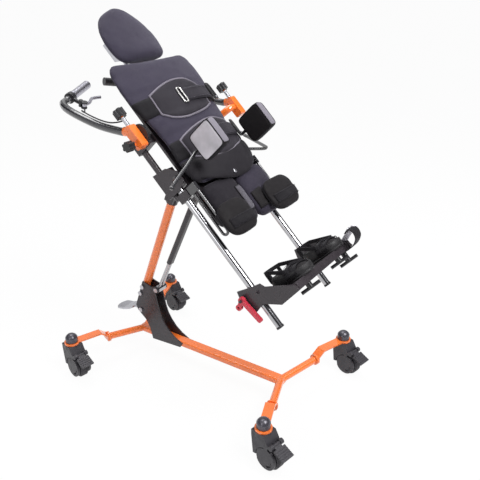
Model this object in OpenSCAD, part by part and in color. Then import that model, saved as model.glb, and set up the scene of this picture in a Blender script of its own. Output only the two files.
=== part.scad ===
// Tilting standing frame for a child: a wheeled base, a tilting backboard and a pair of sandals.
// Millimetres, +Z up, origin on the floor midway between the four caster axes.
// +X is the user's left and -Y is the foot end.

/* [Base] */
// Distance between the front and rear caster swivel axes
wheelbase = 750; // [730:2:770]
// Distance between the left and right caster swivel axes
track = 516; // [500:2:540]
// Distance between the two places where the arms leave the spine
spine_len = 562; // [552:1:572]
// Width of the spine tube
spine_w = 34; // [33:0.5:36]
// Height of the spine tube
spine_h = 22; // [21:0.5:24]
// Height of the underside of the spine above the floor
spine_z = 60; // [56:0.5:64]
// Diameter of the splayed arm tubes
arm_d = 24; // [22:0.5:26]
// Diameter of the ring that carries a caster
ring_d = 50; // [48:1:54]

/* [Casters] */
// Diameter of a caster wheel
wheel_d = 80; // [76:1:82]
// Width of a caster wheel
wheel_w = 29; // [27:0.5:30]
// Distance from the swivel axis back to the wheel axle
caster_trail = 30; // [28:0.5:32]
// Height of the flat top of the caster housing
caster_top = 112; // [110:0.5:116]
// Diameter of the swivel stem
stem_d = 12; // [11:0.5:13]
// Direction in which the casters trail, anticlockwise from +X
caster_heading = 258; // [246:1:270]
// Diameter of the domed cap over a swivel stem
cap_d = 40; // [36:1:44]

/* [Tower and mast] */
// Thickness of the tower plates
tower_t = 4; // [3:0.5:5]
// Diameter of the mast
mast_d = 29; // [28:0.5:30]
// Length of the mast
mast_len = 432; // [424:1:440]
// Width of the foot pedal's blade
pedal_w = 54; // [48:1:60]

/* [Strut] */
// Thickness of the strut's flat sleeve
sleeve_t = 17; // [16:0.5:19]
// Diameter of the two strut rods
strut_rod_d = 8; // [7:0.5:9]

/* [Backboard frame] */
// Distance of each chrome rail from the middle
rail_x = 145; // [144:0.5:146]
// Diameter of the chrome rails
rail_d = 21; // [20:0.5:22]
// Length of the rails below the hip
rail_len = 498; // [490:1:510]
// Diameter of the black upper tubes
upper_d = 19; // [18:0.5:20]
// Thickness of the panel behind the pads
panel_t = 8; // [6:0.5:10]

/* [Pads] */
// Width of the back pad at the chest
back_w = 356; // [348:1:358]
// Thickness of the back pad
pad_t = 50; // [46:0.5:52]
// Width of the headrest
head_w = 210; // [196:2:224]
// Length of the headrest
head_len = 182; // [170:1:194]
// Thickness of the belts
belt_t = 6; // [4:0.5:7]

/* [Handles] */
// Width of a handle block across the frame
block_w = 24; // [22:0.5:26]
// Diameter of the toothed disc
disc_d = 62; // [56:1:66]
// Diameter of the handlebars
bar_d = 22; // [21:0.5:23]
// Diameter of the grips
grip_d = 25.5; // [25:0.5:28]

/* [Foot support] */
// Distance of the foot support above the lower ends of the rails
foot_up = 98; // [90:1:108]
// Distance between the middles of the two sandals
sandal_gap = 180; // [174:1:186]
// Width of a sandal
sandal_w = 72; // [68:0.5:76]
// Height of a sandal's heel cup
heel_h = 50; // [44:0.5:52]

/* [Hidden] */
$fn = 64;

// Overrun for cuts, gap of a running fit, and gap of pieces that only rest near each other
over = 1;
fit = 0.05;
near = 0.4;
tube_wall = 2.5;

orange = [0.93, 0.42, 0.14];
black = [0.09, 0.09, 0.10];
chrome = [0.80, 0.81, 0.83];
silver = [0.70, 0.70, 0.73];
grey = [0.32, 0.32, 0.34];
fabric = [0.16, 0.15, 0.19];
red = [0.78, 0.22, 0.28];

// Rings of points become lofted and swept forms
function unit(v) = v / norm(v);
function power_curve(s, p) = sign(s) * pow(abs(s), 2 / p);
function ring_faces(rows, cols) = [for (i = [0:rows - 2], j = [0:cols - 1])
    let (a = i * cols + j, b = i * cols + (j + 1) % cols, c = b + cols, d = a + cols)
    each [[a, d, b], [b, d, c]]];
function cap_faces(rows, cols) = concat(
    [for (j = [1:cols - 2]) [0, j, j + 1]],
    [for (j = [1:cols - 2]) (rows - 1) * cols * [1, 1, 1] + [0, j + 1, j]]);
module loft(rings) {
    rows = len(rings);
    cols = len(rings[0]);
    polyhedron([for (r = rings) each r], concat(ring_faces(rows, cols), cap_faces(rows, cols)));
}
function spline(a, b, c, d, t) = (2 * b + (c - a) * t + (2 * a - 5 * b + 4 * c - d) * t * t
    + (3 * b - a - 3 * c + d) * t * t * t) / 2;
function smooth(p, k) = concat([for (i = [0:len(p) - 2], j = [0:k - 1])
    spline(p[max(i - 1, 0)], p[i], p[i + 1], p[min(i + 2, len(p) - 1)], j / k)], [p[len(p) - 1]]);
function sweep_ring(path, i, r, sides, ref) =
    let (t = unit(path[min(i + 1, len(path) - 1)] - path[max(i - 1, 0)]),
         n = unit(cross(ref, t)), b = cross(t, n))
    [for (j = [0:sides - 1]) path[i] + r * (cos(360 * j / sides) * n + sin(360 * j / sides) * b)];
module sweep(path, r, sides, ref) {
    loft([for (i = [0:len(path) - 1]) sweep_ring(path, i, r, sides, ref)]);
}
// Each share of a triple is taken of its own size
function scaled(shares, sizes) = [for (s = shares) [for (k = [0:len(s) - 1]) s[k] * sizes[k]]];

// Round bar from one point to another
module rod(p, q, r) {
    d = q - p;
    translate(p) rotate([0, acos(d[2] / norm(d)), atan2(d[1], d[0])]) cylinder(r = r, h = norm(d));
}
// Flat strip of even thickness along a line of points
function side_of(a, b) = let (d = unit(b - a)) [-d[1], d[0]];
function mitre(p, i) = let (m = len(p) - 1, a = side_of(p[max(i - 1, 0)], p[max(i, 1)]),
    b = side_of(p[min(i, m - 1)], p[min(i + 1, m)])) (a + b) / (1 + a * b);
module strip(p, t) {
    m = len(p) - 1;
    polygon(concat([for (i = [0:m]) p[i] + t / 2 * mitre(p, i)],
        [for (i = [m:-1:0]) p[i] - t / 2 * mitre(p, i)]));
}
module rounded(w, h, r) {
    square([w - 2 * r, h], center = true);
    square([w, h - 2 * r], center = true);
    for (x = [-1, 1], y = [-1, 1]) translate([x * (w / 2 - r), y * (h / 2 - r)]) circle(r);
}
// Plate in the YZ plane, from x0 towards +X
module plate(x0, t) {
    translate([x0, 0, 0]) rotate([90, 0, 90]) linear_extrude(t) children();
}
module bar_x(at, r, x0, x1) {
    translate([x0, at[0], at[1]]) rotate([0, 90, 0]) cylinder(r = r, h = x1 - x0);
}
// Bar that runs down the board, from one height on it to a lower one
module bar_v(x, n, r, v0, v1) {
    translate([x, v0, n]) rotate([90, 0, 0]) cylinder(r = r, h = v0 - v1);
}
module both_sides() {
    children();
    mirror([1, 0, 0]) children();
}
// Star-shaped hand knob that stands up along Z
star_core_share = 0.8;
star_lobe_at_share = 0.68;
star_lobe_share = 0.32;
module star(r, h, bore_r, bore_h) {
    difference() {
        union() {
            cylinder(r = r * star_core_share, h = h);
            for (a = [0:60:300]) rotate(a) translate([r * star_lobe_at_share, 0, 0])
                cylinder(r = r * star_lobe_share, h = h);
        }
        translate([0, 0, -over]) cylinder(r = bore_r, h = bore_h + over);
    }
}

// Base frame: a spine, four splayed arms that rise, and a stepped bracket to each caster ring
corners = [[-1, -1], [1, -1], [-1, 1], [1, 1]];
bracket_t = 6;
bracket_w = 30;
spine_corner = 6;
arm_len = 148;
arm_rise = 16;
flange_d = arm_d + 2 * bracket_t;
flange_drop = 8;
flange_lift = 10;
step_run = 26;
arm_z = spine_z + spine_h / 2;
arm_end_z = arm_z + arm_rise;
arm_pitch = atan2(arm_rise, arm_len);
arm_angle = atan2((wheelbase - spine_len) / 2, track / 2);
arm_reach = norm([(wheelbase - spine_len) / 2, track / 2]);
module arm(c) {
    flange_at = arm_len + bracket_t / 2;
    translate([0, c[1] * spine_len / 2, 0]) rotate(c[0] > 0 ? c[1] * arm_angle : 180 - c[1] * arm_angle) {
        translate([0, 0, arm_z]) rotate([0, 90 - arm_pitch, 0]) cylinder(d = arm_d, h = arm_len);
        translate([arm_len - bracket_t, 0, arm_end_z]) rotate([0, 90, 0])
            cylinder(d = flange_d, h = bracket_t + over);
        translate([0, bracket_w / 2, 0]) rotate([90, 0, 0]) linear_extrude(bracket_w)
            strip([[flange_at, arm_end_z - flange_drop], [flange_at, arm_end_z + flange_lift],
                [arm_len + step_run, caster_top + bracket_t / 2],
                [arm_reach, caster_top + bracket_t / 2]], bracket_t);
    }
}
module at_ring(c) {
    translate([c[0] * track / 2, c[1] * wheelbase / 2, 0]) children();
}
module base_frame() {
    color(orange) difference() {
        union() {
            translate([0, spine_len / 2 + arm_d / 2, spine_z + spine_h / 2]) rotate([90, 0, 0])
                linear_extrude(spine_len + arm_d) rounded(spine_w, spine_h, spine_corner);
            for (c = corners) arm(c);
            for (c = corners) at_ring(c) translate([0, 0, caster_top]) cylinder(d = ring_d, h = bracket_t);
        }
        for (c = corners) at_ring(c) translate([0, 0, caster_top - over])
            cylinder(d = stem_d + 2 * fit, h = bracket_t + 2 * over);
    }
}
cap_h = 30;
cap_wall = 3;
dome_h_share = 0.45;
dome_h = cap_h * dome_h_share;
dome_r = (cap_d * cap_d / 4 + dome_h * dome_h) / (2 * dome_h);
stem_up = cap_h - dome_h;
module caster_caps() {
    color(grey) for (c = corners) at_ring(c) translate([0, 0, caster_top + bracket_t]) difference() {
        intersection() {
            cylinder(d = cap_d, h = cap_h);
            translate([0, 0, cap_h - dome_r]) sphere(dome_r);
        }
        translate([0, 0, -over]) cylinder(d = stem_d + 2 * cap_wall, h = stem_up + cap_wall + over);
    }
}

// Casters: a hood over the wheel, side cheeks, a neck and a ribbed brake pedal
wheel_r = wheel_d / 2;
axle_r = 5;
wheel_clear = 2;
cheek_t = 8;
hood_t = 6;
hood_w = wheel_w + 2 * wheel_clear + 2 * cheek_t;
hood_r = wheel_r + hood_t;
cheek_r = wheel_r - bracket_t;
hood_from = 78;
hood_to = 186;
neck_d = 46;
neck_h = 16;
housing_top = caster_top - fit;
tread_edge = 5;
crescent_r_share = 0.57;
crescent_r = wheel_r * crescent_r_share;
crescent_w = 6;
crescent_deep = 3;
crescent_turn = [-75, -5];
crease_w = 3;
crease_deep = 2;
crease_turn = [100, 205];
brake_out = 3;
brake_r = hood_r + brake_out;
brake_angle = 70;
brake_pin_r = 2.5;
brake_barrel_r = 5.5;
brake_lug_r = 8;
brake_w = 42;
brake_neck_w = 24;
brake_len = 50;
brake_t = 6;
brake_drop = 24;
rib_w = 2;
rib_deep = 1;
brake_at = [caster_trail + brake_r * cos(brake_angle), wheel_r + brake_r * sin(brake_angle)];
wheel_at = [caster_trail, wheel_r];
module at_caster(c) {
    at_ring(c) rotate(caster_heading) children();
}
module wedge(r, a, b) {
    polygon([[0, 0], for (k = [0:4]) 2 * r * [cos(a + (b - a) * k / 4), sin(a + (b - a) * k / 4)]]);
}
module ring_part(r, w, turn) {
    intersection() {
        difference() {
            circle(r + w / 2);
            circle(r - w / 2);
        }
        wedge(r + w, turn[0], turn[1]);
    }
}
module hood_outline() {
    translate(wheel_at) {
        circle(cheek_r);
        intersection() {
            circle(hood_r);
            wedge(hood_r, hood_from, hood_to);
        }
    }
    polygon([[-neck_d / 2, housing_top - neck_h], [-neck_d / 2, housing_top], [neck_d / 2, housing_top],
        wheel_at + hood_r * [cos(hood_from), sin(hood_from)], wheel_at,
        wheel_at + hood_r * [cos(hood_to), sin(hood_to)]]);
    translate(brake_at) circle(brake_lug_r);
}
// Turns a drawing in the caster's side view into a solid of a given width about the middle
module across(w) {
    translate([0, w / 2, 0]) rotate([90, 0, 0]) linear_extrude(w) children();
}
module caster() {
    color(grey) {
        difference() {
            union() {
                across(hood_w) hood_outline();
                translate([0, 0, housing_top - neck_h]) cylinder(d = hood_w + cap_wall, h = neck_h);
            }
            across(wheel_w + 2 * wheel_clear) translate(wheel_at) circle(wheel_r + wheel_clear);
            across(brake_neck_w + wheel_clear) translate(brake_at) circle(brake_lug_r + over);
            for (s = [-1, 1]) translate([0, s * hood_w / 2, 0]) {
                across(2 * crescent_deep) translate(wheel_at) ring_part(crescent_r, crescent_w, crescent_turn);
                across(2 * crease_deep) translate(wheel_at) ring_part(cheek_r, crease_w, crease_turn);
            }
        }
        across(hood_w - cheek_t) translate(wheel_at) circle(axle_r);
        across(hood_w - cheek_t) translate(brake_at) circle(brake_pin_r);
        translate([0, 0, caster_top - neck_h / 2]) cylinder(d = stem_d, h = neck_h / 2 + bracket_t + stem_up);
    }
}
module wheel() {
    w = wheel_w / 2;
    bore = axle_r + fit;
    color(black) translate([caster_trail, 0, wheel_r]) rotate([90, 0, 0]) rotate_extrude()
        polygon([[bore, -w], [wheel_r - tread_edge, -w], [wheel_r, tread_edge - w],
            [wheel_r, w - tread_edge], [wheel_r - tread_edge, w], [bore, w]]);
}
module brake() {
    way = [cos(brake_drop), -sin(brake_drop)];
    tip = brake_at + brake_len * way;
    root = brake_at + brake_len / 4 * way;
    color(grey) difference() {
        union() {
            across(brake_neck_w) translate(brake_at) circle(brake_barrel_r);
            across(brake_neck_w) strip([brake_at, tip], brake_t);
            across(brake_w) strip([root, tip], brake_t);
        }
        across(brake_w) translate(brake_at) circle(brake_pin_r + fit);
        for (k = [1:4]) across(brake_w + 2 * over) translate(root + (tip - root) * k / 5)
            rotate(-brake_drop) translate([0, brake_t / 2]) square([rib_w, 2 * rib_deep], center = true);
    }
}

// Tower: two side plates that clasp the spine and hold the mast, the strut and the foot pedal
tower_depth = 203;
tower_h = 220;
tower_shares = [[.813, 1], [.576, .941], [.557, .895], [.530, .786], [.507, .677], [.477, .570], [.438, .464],
    [.370, .360], [.276, .259], [.150, .175], [0, .109], [.049, .036], [.655, 0], [.709, .191], [.788, .318],
    [.885, .390], [.961, .450], [1, .532]];
strut_foot_share = [.512, .927];
pedal_axis_share = [.887, .473];
mast_foot_share = [.921, .664];
tower_behind = 14;
tower_sink = 30;
tower_at = [spine_len / 2 + tower_behind - tower_depth + tower_t, spine_z + spine_h - tower_sink];
function in_tower(share) = tower_at + [share[0] * tower_depth, share[1] * tower_h];
strut_foot = in_tower(strut_foot_share);
pedal_axis = in_tower(pedal_axis_share);
mast_foot = in_tower(mast_foot_share);
mast_lean = 21.8;
mast_dir = [-sin(mast_lean), cos(mast_lean)];
mast_top = mast_foot + mast_len * mast_dir;
mast_bolt_at = [26, 56];
mast_bolts = [for (s = mast_bolt_at) mast_foot + s * mast_dir];
plate_in = spine_w / 2;
ear_r = 12;
ear_run = 26;
ear_fall = 10;
bolt_r = 5;
bolt_head_r = 8;
bolt_head_h = 5;
bolt_places = concat(mast_bolts, [strut_foot, pedal_axis]);
module tower_plates() {
    color(black) difference() {
        both_sides() plate(plate_in, tower_t) {
            translate(tower_at) polygon(scaled(tower_shares, [tower_depth, tower_h]));
            translate(strut_foot) circle(ear_r);
            strip([strut_foot, strut_foot + [ear_run, -ear_fall]], 2 * ear_r);
        }
        for (p = bolt_places) bar_x(p, bolt_r + fit, -spine_w, spine_w);
    }
}
module bolt_heads(at, x, r) {
    for (s = [-1, 1]) translate([s * (x + bolt_head_h / 2), at[0], at[1]]) rotate([0, 90, 0])
        cylinder(r = r, h = bolt_head_h, center = true);
}
// Bolts through the tower, with shoulders beside the mast, and the tilt pin
module pivot_pins() {
    x = plate_in + tower_t;
    y = yoke_in + yoke_t;
    color(silver) {
        for (p = bolt_places) {
            bar_x(p, bolt_r, -x, x);
            bolt_heads(p, x, bolt_head_r);
        }
        for (p = mast_bolts, s = [-1, 1])
            bar_x(p, bolt_head_r, s < 0 ? -plate_in : mast_d / 2 + fit, s < 0 ? -mast_d / 2 - fit : plate_in);
        bar_x(tilt_axis, tilt_pin_r, -y, y);
        bolt_heads(tilt_axis, y, bolt_head_r + over);
    }
}
module along_mast(s) {
    p = mast_foot + s * mast_dir;
    translate([0, p[0], p[1]]) rotate([mast_lean, 0, 0]) children();
}
module mast() {
    color(orange) difference() {
        along_mast(0) cylinder(d = mast_d, h = mast_len);
        along_mast(-over) cylinder(d = mast_d - 2 * tube_wall, h = mast_len + 2 * over);
        for (p = mast_bolts) bar_x(p, bolt_r + fit, -spine_w, spine_w);
    }
}

// Mast head: a socket over the mast with a cranked yoke that carries the tilt pin
tilt_pin_r = 6;
yoke_crank = [-60.6, 76.9];
tilt_axis = mast_top + yoke_crank;
head_wall = 4;
head_grip = 18;
yoke_in = 14.5;
yoke_t = 8;
yoke_r = 16;
module mast_head() {
    knee = mast_top + (head_wall + head_grip / 2) * mast_dir;
    color(black) difference() {
        union() {
            along_mast(mast_len - head_grip) cylinder(d = mast_d + 2 * head_wall, h = head_grip + head_wall);
            both_sides() plate(yoke_in, yoke_t) {
                translate(tilt_axis) circle(yoke_r);
                strip([mast_top - head_grip / 2 * mast_dir, knee, tilt_axis], 2 * yoke_r);
            }
            plate(-yoke_in - over, 2 * yoke_in + 2 * over) strip([mast_top + over * mast_dir, knee], 2 * yoke_r);
        }
        along_mast(mast_len - head_grip - over) cylinder(d = mast_d + 2 * fit, h = head_grip + over);
        bar_x(tilt_axis, tilt_pin_r + fit, -spine_w, spine_w);
    }
}

// Foot pedal between the tower plates
side_gap = 0.5;
pedal_barrel_r = 10;
pedal_arm_w = 22;
pedal_t = 7;
pedal_run = 122;
pedal_fall = 26;
pedal_shares = [[.33, -.2], [.67, -.75], [1, -1]];
pedal_round_share = 1.45;
module pedal_plan(p) {
    translate([-pedal_arm_w / 2, pedal_axis[0]]) square([pedal_arm_w, p[1][0] - pedal_axis[0]]);
    intersection() {
        translate([0, p[1][0]]) circle(d = pedal_w * pedal_round_share);
        translate([-pedal_w, p[0][0]]) square([2 * pedal_w, pedal_run]);
    }
}
module foot_pedal() {
    p = [for (s = scaled(pedal_shares, [pedal_run, pedal_fall])) pedal_axis + s];
    color(silver) difference() {
        union() {
            bar_x(pedal_axis, pedal_barrel_r, side_gap - plate_in, plate_in - side_gap);
            intersection() {
                plate(-pedal_w / 2, pedal_w) strip(concat([pedal_axis], p), pedal_t);
                linear_extrude(2 * pedal_axis[1]) pedal_plan(p);
            }
        }
        bar_x(pedal_axis, bolt_r + fit, -spine_w, spine_w);
    }
}

// Strut: two rods fixed in the tower guide a flat sleeve, whose slotted eye lifts the backboard's pin
strut_reach = [-47, -21];
strut_head = tilt_axis + strut_reach;
strut_dir = unit(strut_head - strut_foot);
strut_len = norm(strut_head - strut_foot);
strut_lean = atan2(-strut_dir[0], strut_dir[1]);
strut_pin_r = 5;
strut_rod_gap = 17;
sleeve_w = strut_rod_gap + strut_rod_d + 2 * over;
sleeve_len = 318;
rod_in = 150;
rod_free = 96;
eye_below = 24;
eye_above = 14;
eye_front = 12;
eye_back = 27;
slot_back = 16.5;
slot_slack = 1.8;
module along_strut(s) {
    p = strut_foot + s * strut_dir;
    translate([0, p[0], p[1]]) rotate([strut_lean, 0, 0]) children();
}
module strut_rods() {
    color(black) difference() {
        union() {
            bar_x(strut_foot, ear_r, -plate_in, plate_in);
            for (s = [-1, 1]) translate([s * strut_rod_gap / 2, 0, 0]) along_strut(0)
                cylinder(d = strut_rod_d, h = strut_len - sleeve_len + rod_in);
        }
        bar_x(strut_foot, bolt_r + fit, -spine_w, spine_w);
    }
}
module strut_sleeve() {
    slot_r = strut_pin_r + slot_slack;
    color(black) difference() {
        union() {
            along_strut(strut_len - sleeve_len) linear_extrude(sleeve_len - eye_below + over)
                rounded(sleeve_w, sleeve_t, sleeve_t / 2 - over);
            along_strut(strut_len - eye_below) translate([-sleeve_w / 2, -eye_front, 0])
                cube([sleeve_w, eye_front + eye_back, eye_below + eye_above]);
        }
        for (s = [-1, 1]) translate([s * strut_rod_gap / 2, 0, 0]) along_strut(strut_len - sleeve_len - over)
            cylinder(d = strut_rod_d + 2 * fit, h = sleeve_len - rod_free + over);
        along_strut(strut_len) for (y = [0, slot_back]) translate([0, y, 0]) rotate([0, 90, 0])
            cylinder(r = slot_r, h = 2 * sleeve_w, center = true);
        along_strut(strut_len) translate([-sleeve_w, 0, -slot_r]) cube([2 * sleeve_w, slot_back, 2 * slot_r]);
    }
}

// The backboard's own frame: Y runs up the board, Z stands out of it
board_tilt = 45;
board_off = [-62, 47];
board_at = tilt_axis + board_off;
module on_board() {
    translate([0, board_at[0], board_at[1]]) rotate([board_tilt, 0, 0]) children();
}
function to_board(p) = let (d = p - board_at)
    [d[0] * cos(board_tilt) + d[1] * sin(board_tilt), d[1] * cos(board_tilt) - d[0] * sin(board_tilt)];
function from_board(x, p) = [x, board_at[0] + p[0] * cos(board_tilt) - p[1] * sin(board_tilt),
    board_at[1] + p[0] * sin(board_tilt) + p[1] * cos(board_tilt)];

// Cradle: cross beam and upper tubes between the hip clamps, with the lugs of the tilt pin and the strut
beam_r = 12;
beam_at = [0, -14];
lug_w = 2 * yoke_in - 2 * near;
lug_t = 6;
lug_r = 10;
lug_gap = 2;
clamp_half = 14;
clamp_in = rail_x - clamp_half;
clamp_out = rail_x + clamp_half;
upper_n = -25;
upper_len = 146;
upper_low = 58;
module cradle() {
    tilt = to_board(tilt_axis);
    head = to_board(strut_head);
    lug_x = sleeve_w / 2 + lug_gap;
    color(black) on_board() {
        difference() {
            union() {
                bar_x(beam_at, beam_r, -clamp_in, clamp_in);
                plate(-lug_w / 2, lug_w) {
                    translate(tilt) circle(yoke_r);
                    strip([beam_at, tilt], 2 * beam_r);
                }
                both_sides() plate(lug_x, lug_t) {
                    translate(head) circle(lug_r);
                    strip([beam_at, head], 2 * lug_r);
                }
                bar_x(head, strut_pin_r, -lug_x - over, lug_x + over);
            }
            bar_x(tilt, tilt_pin_r + fit, -spine_w, spine_w);
        }
        both_sides() bar_v(rail_x, upper_n, upper_d / 2, upper_len, -upper_low);
    }
}

// Rails and their end caps
rail_top = 20;
rail_cap_len = 6;
rail_plug_len = 12;
module side_rails() {
    color(chrome) on_board() both_sides() difference() {
        bar_v(rail_x, 0, rail_d / 2, rail_top, -rail_len);
        bar_v(rail_x, 0, rail_d / 2 - tube_wall, rail_top + over, -rail_len - over);
    }
}
module rail_caps() {
    color(black) on_board() both_sides() {
        bar_v(rail_x, 0, rail_d / 2 + over, -rail_len, -rail_len - rail_cap_len);
        bar_v(rail_x, 0, rail_d / 2 - tube_wall - fit, rail_plug_len - rail_len, -rail_len - rail_cap_len / 2);
    }
}

// Clamps: hip clamps with gussets, clamps under the panel, crossbar saddles and the headrest's guide
clamp_wall = 4;
clamp_low = upper_n - upper_d / 2 - clamp_wall;
clamp_high = rail_d / 2 + clamp_wall;
clamp_up = 28;
clamp_down = 30;
gusset_t = 4;
gusset_tall = 46;
gusset_wide = 84;
gusset_shares = [[-.5, 0], [.48, 0], [.36, .62], [0, 1], [-.38, 1], [-.5, .62]];
lateral_at = [-14, 36];
lateral_boss_r = 7;
lateral_pin_r = 4;
panel_n = 26;
panel_clamp_at = -62;
saddle_v = 122;
saddle_half = 13;
cross_r = 11;
cross_n = 14;
post_x = 30;
post_r = 5;
post_n = 16;
guide_v = 262;
guide_half = 22;
guide_wall = 8;
module clamp_block(v0, v1, n0, n1) {
    translate([clamp_in, v0, n0]) cube([2 * clamp_half, v1 - v0, n1 - n0]);
}
module hip_clamp() {
    difference() {
        union() {
            clamp_block(-clamp_down, clamp_up, clamp_low, clamp_high);
            plate(clamp_out, gusset_t) translate([0, clamp_low])
                polygon(scaled(gusset_shares, [gusset_wide, gusset_tall - clamp_low]));
            bar_x(lateral_at, lateral_pin_r, clamp_out, clamp_out + gusset_t + 2 * lateral_boss_r);
        }
        bar_v(rail_x, 0, rail_d / 2 + fit, clamp_up + over, -clamp_down - over);
        bar_v(rail_x, upper_n, upper_d / 2 + fit, clamp_up + over, -clamp_down - over);
    }
}
module panel_clamp(v) {
    difference() {
        clamp_block(v - saddle_half, v + saddle_half, -clamp_high, panel_n);
        bar_v(rail_x, 0, rail_d / 2 + fit, v + saddle_half + over, v - saddle_half - over);
    }
}
module saddle() {
    difference() {
        clamp_block(saddle_v - saddle_half, saddle_v + saddle_half, clamp_low, panel_n);
        bar_v(rail_x, upper_n, upper_d / 2 + fit, saddle_v + saddle_half + over, saddle_v - saddle_half - over);
        bar_x([saddle_v, cross_n], cross_r + fit, clamp_in - over, clamp_out + over);
    }
}
module head_guide() {
    w = 2 * (post_x + post_r + guide_wall);
    difference() {
        translate([-w / 2, guide_v - guide_half, post_n - post_r - clamp_wall])
            cube([w, 2 * guide_half, panel_n - post_n + post_r + clamp_wall]);
        for (s = [-1, 1]) bar_v(s * post_x, post_n, post_r + fit, guide_v + 2 * guide_half, guide_v - 2 * guide_half);
    }
}
module frame_clamps() {
    color(black) on_board() {
        both_sides() {
            hip_clamp();
            panel_clamp(panel_clamp_at);
            saddle();
        }
        head_guide();
    }
}

// Pads: rings of a rounded section, drawn in at the ends and crowned in the middle
pad_n = panel_n + panel_t;
back_len = 411;
back_low = -68;
back_power = 2.7;
back_shares = [[0, .80], [.165, .87], [.311, .84], [.384, .845], [.555, .91], [.713, 1], [.864, .966], [1, .84]];
head_shares = [[0, .84], [.15, .95], [.35, 1], [.55, .95], [.72, .82], [.86, .62], [.95, .38], [1, .16]];
flat_shares = [[0, .96], [.5, 1], [1, .98]];
pad_end_share = 0.45;
back_round = 42;
edge_round = 26;
back_dip = 9;
function end_round(d, r) = d >= r ? 1 : sqrt(max(0, 1 - pow(1 - d / r, 2)));
function pad_ring(v, hw, n0, th, p, sides, dip) = [for (j = [0:sides - 1])
    let (x = power_curve(sin(360 * j / sides), p))
    [hw * x, v - dip * (1 - x * x), n0 + th / 2 + th / 2 * power_curve(cos(360 * j / sides), p)]];
function pad_rings(v0, l, w, n0, th, shares, p, rows, sides, round_plan, round_edge, dip = 0) =
    [for (i = [0:rows]) let (s = (1 - cos(180 * i / rows)) / 2, d = min(s, 1 - s) * l,
        hw = w / 2 * lookup(s, shares) - round_plan * (1 - end_round(d, round_plan)),
        t = th * (pad_end_share + (1 - pad_end_share) * end_round(d, round_edge)))
    pad_ring(v0 + s * l, hw, n0, t, p, sides, dip * s * s * s)];
module back_pad() {
    color(fabric) on_board() loft(pad_rings(back_low, back_len, back_w, pad_n + near, pad_t, back_shares,
        back_power, 22, 28, back_round, edge_round, back_dip));
}
leg_len = 154;
leg_gap = 4;
leg_w = rail_x - leg_gap / 2 - over;
leg_round = 26;
leg_x = leg_gap / 2 + leg_w / 2;
leg_top = back_low - leg_gap;
leg_t_share = 0.88;
leg_t = pad_t * leg_t_share;
module leg_pads() {
    color(fabric) on_board() both_sides() translate([leg_x, 0, 0])
        loft(pad_rings(leg_top - leg_len, leg_len, leg_w, pad_n + near, leg_t, flat_shares,
            back_power, 12, 22, leg_round, edge_round));
}
knee_x = 114;
knee_low = -238;
knee_len = 96;
knee_w = 146;
knee_t = 38;
knee_power = 2.3;
knee_round = 34;
module knee_cups() {
    color(black) on_board() both_sides() translate([knee_x, 0, 0])
        loft(pad_rings(knee_low, knee_len, knee_w, pad_n + 2 * near + leg_t, knee_t, flat_shares, knee_power,
            12, 22, knee_round, knee_round));
}
panel_inset = 26;
panel_round = 40;
module pad_panel() {
    low = leg_top - leg_len + panel_inset;
    high = back_low + back_len - panel_inset;
    color(black) on_board() translate([0, (low + high) / 2, panel_n]) linear_extrude(panel_t)
        rounded(2 * rail_x - clamp_half, high - low, panel_round);
}
// Belts follow the back pad's section from one side to the other
chest_at = [150, 236];
hip_at = [36, 106];
pelvis_at = [panel_clamp_at + saddle_half + near, -12];
belt_turn = 96;
function back_half(v) = back_w / 2 * lookup((v - back_low) / back_len, back_shares);
// A belt is straight up the board, so it stands off by as much as the pad bulges between the belt's edges
function between(p, q, t) = p + (q - p) * t;
function belt_lift(at) = max([for (t = [0:1 / 16:1]) back_half(between(at[0], at[1], t))
    - between(back_half(at[0]), back_half(at[1]), t)]);
belt_gap = near + over;
function belt_point(at, v, out, a) = let (h = pad_t / 2, t = (v - at[0]) / (at[1] - at[0]),
    half = between(back_half(at[0]), back_half(at[1]), t) + belt_lift(at) + belt_gap)
    [(half + out) * power_curve(sin(a), back_power), v,
     pad_n + near + h + (h + belt_gap + out) * power_curve(cos(a), back_power)];
module belt(at) {
    soft = belt_t / 2;
    loft([for (k = [18:-1:-18]) let (b = belt_turn * k / 18)
        [belt_point(at, at[0], 0, b), belt_point(at, at[0], soft, b), belt_point(at, at[0] + soft, belt_t, b),
         belt_point(at, at[1] - soft, belt_t, b), belt_point(at, at[1], soft, b), belt_point(at, at[1], 0, b)]]);
}
module chest_belt() {
    color(grey) on_board() belt(chest_at);
}
module hip_belts() {
    color(grey) on_board() {
        belt(hip_at);
        belt(pelvis_at);
    }
}
// Hairpin bars beside the leg pads
pin_r = 4;
hairpin_out = 5;
hairpin_x = rail_x + hairpin_out;
hairpin_n = [36, 57];
hairpin_low = -216;
hairpin_block_h = 36;
hairpin_block_w = 11;
module leg_hairpins() {
    bend = (hairpin_n[1] - hairpin_n[0]) / 2;
    root = panel_clamp_at;
    color(chrome) on_board() both_sides() {
        translate([hairpin_x - hairpin_block_w / 2, root - saddle_half, panel_n])
            cube([hairpin_block_w, 2 * saddle_half, hairpin_block_h]);
        for (n = hairpin_n) bar_v(hairpin_x, n, pin_r, root, hairpin_low + bend);
        translate([hairpin_x, hairpin_low + bend, hairpin_n[0] + bend]) rotate([0, 90, 0]) rotate(180)
            rotate_extrude(angle = 180) translate([bend, 0]) circle(pin_r);
    }
}

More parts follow.
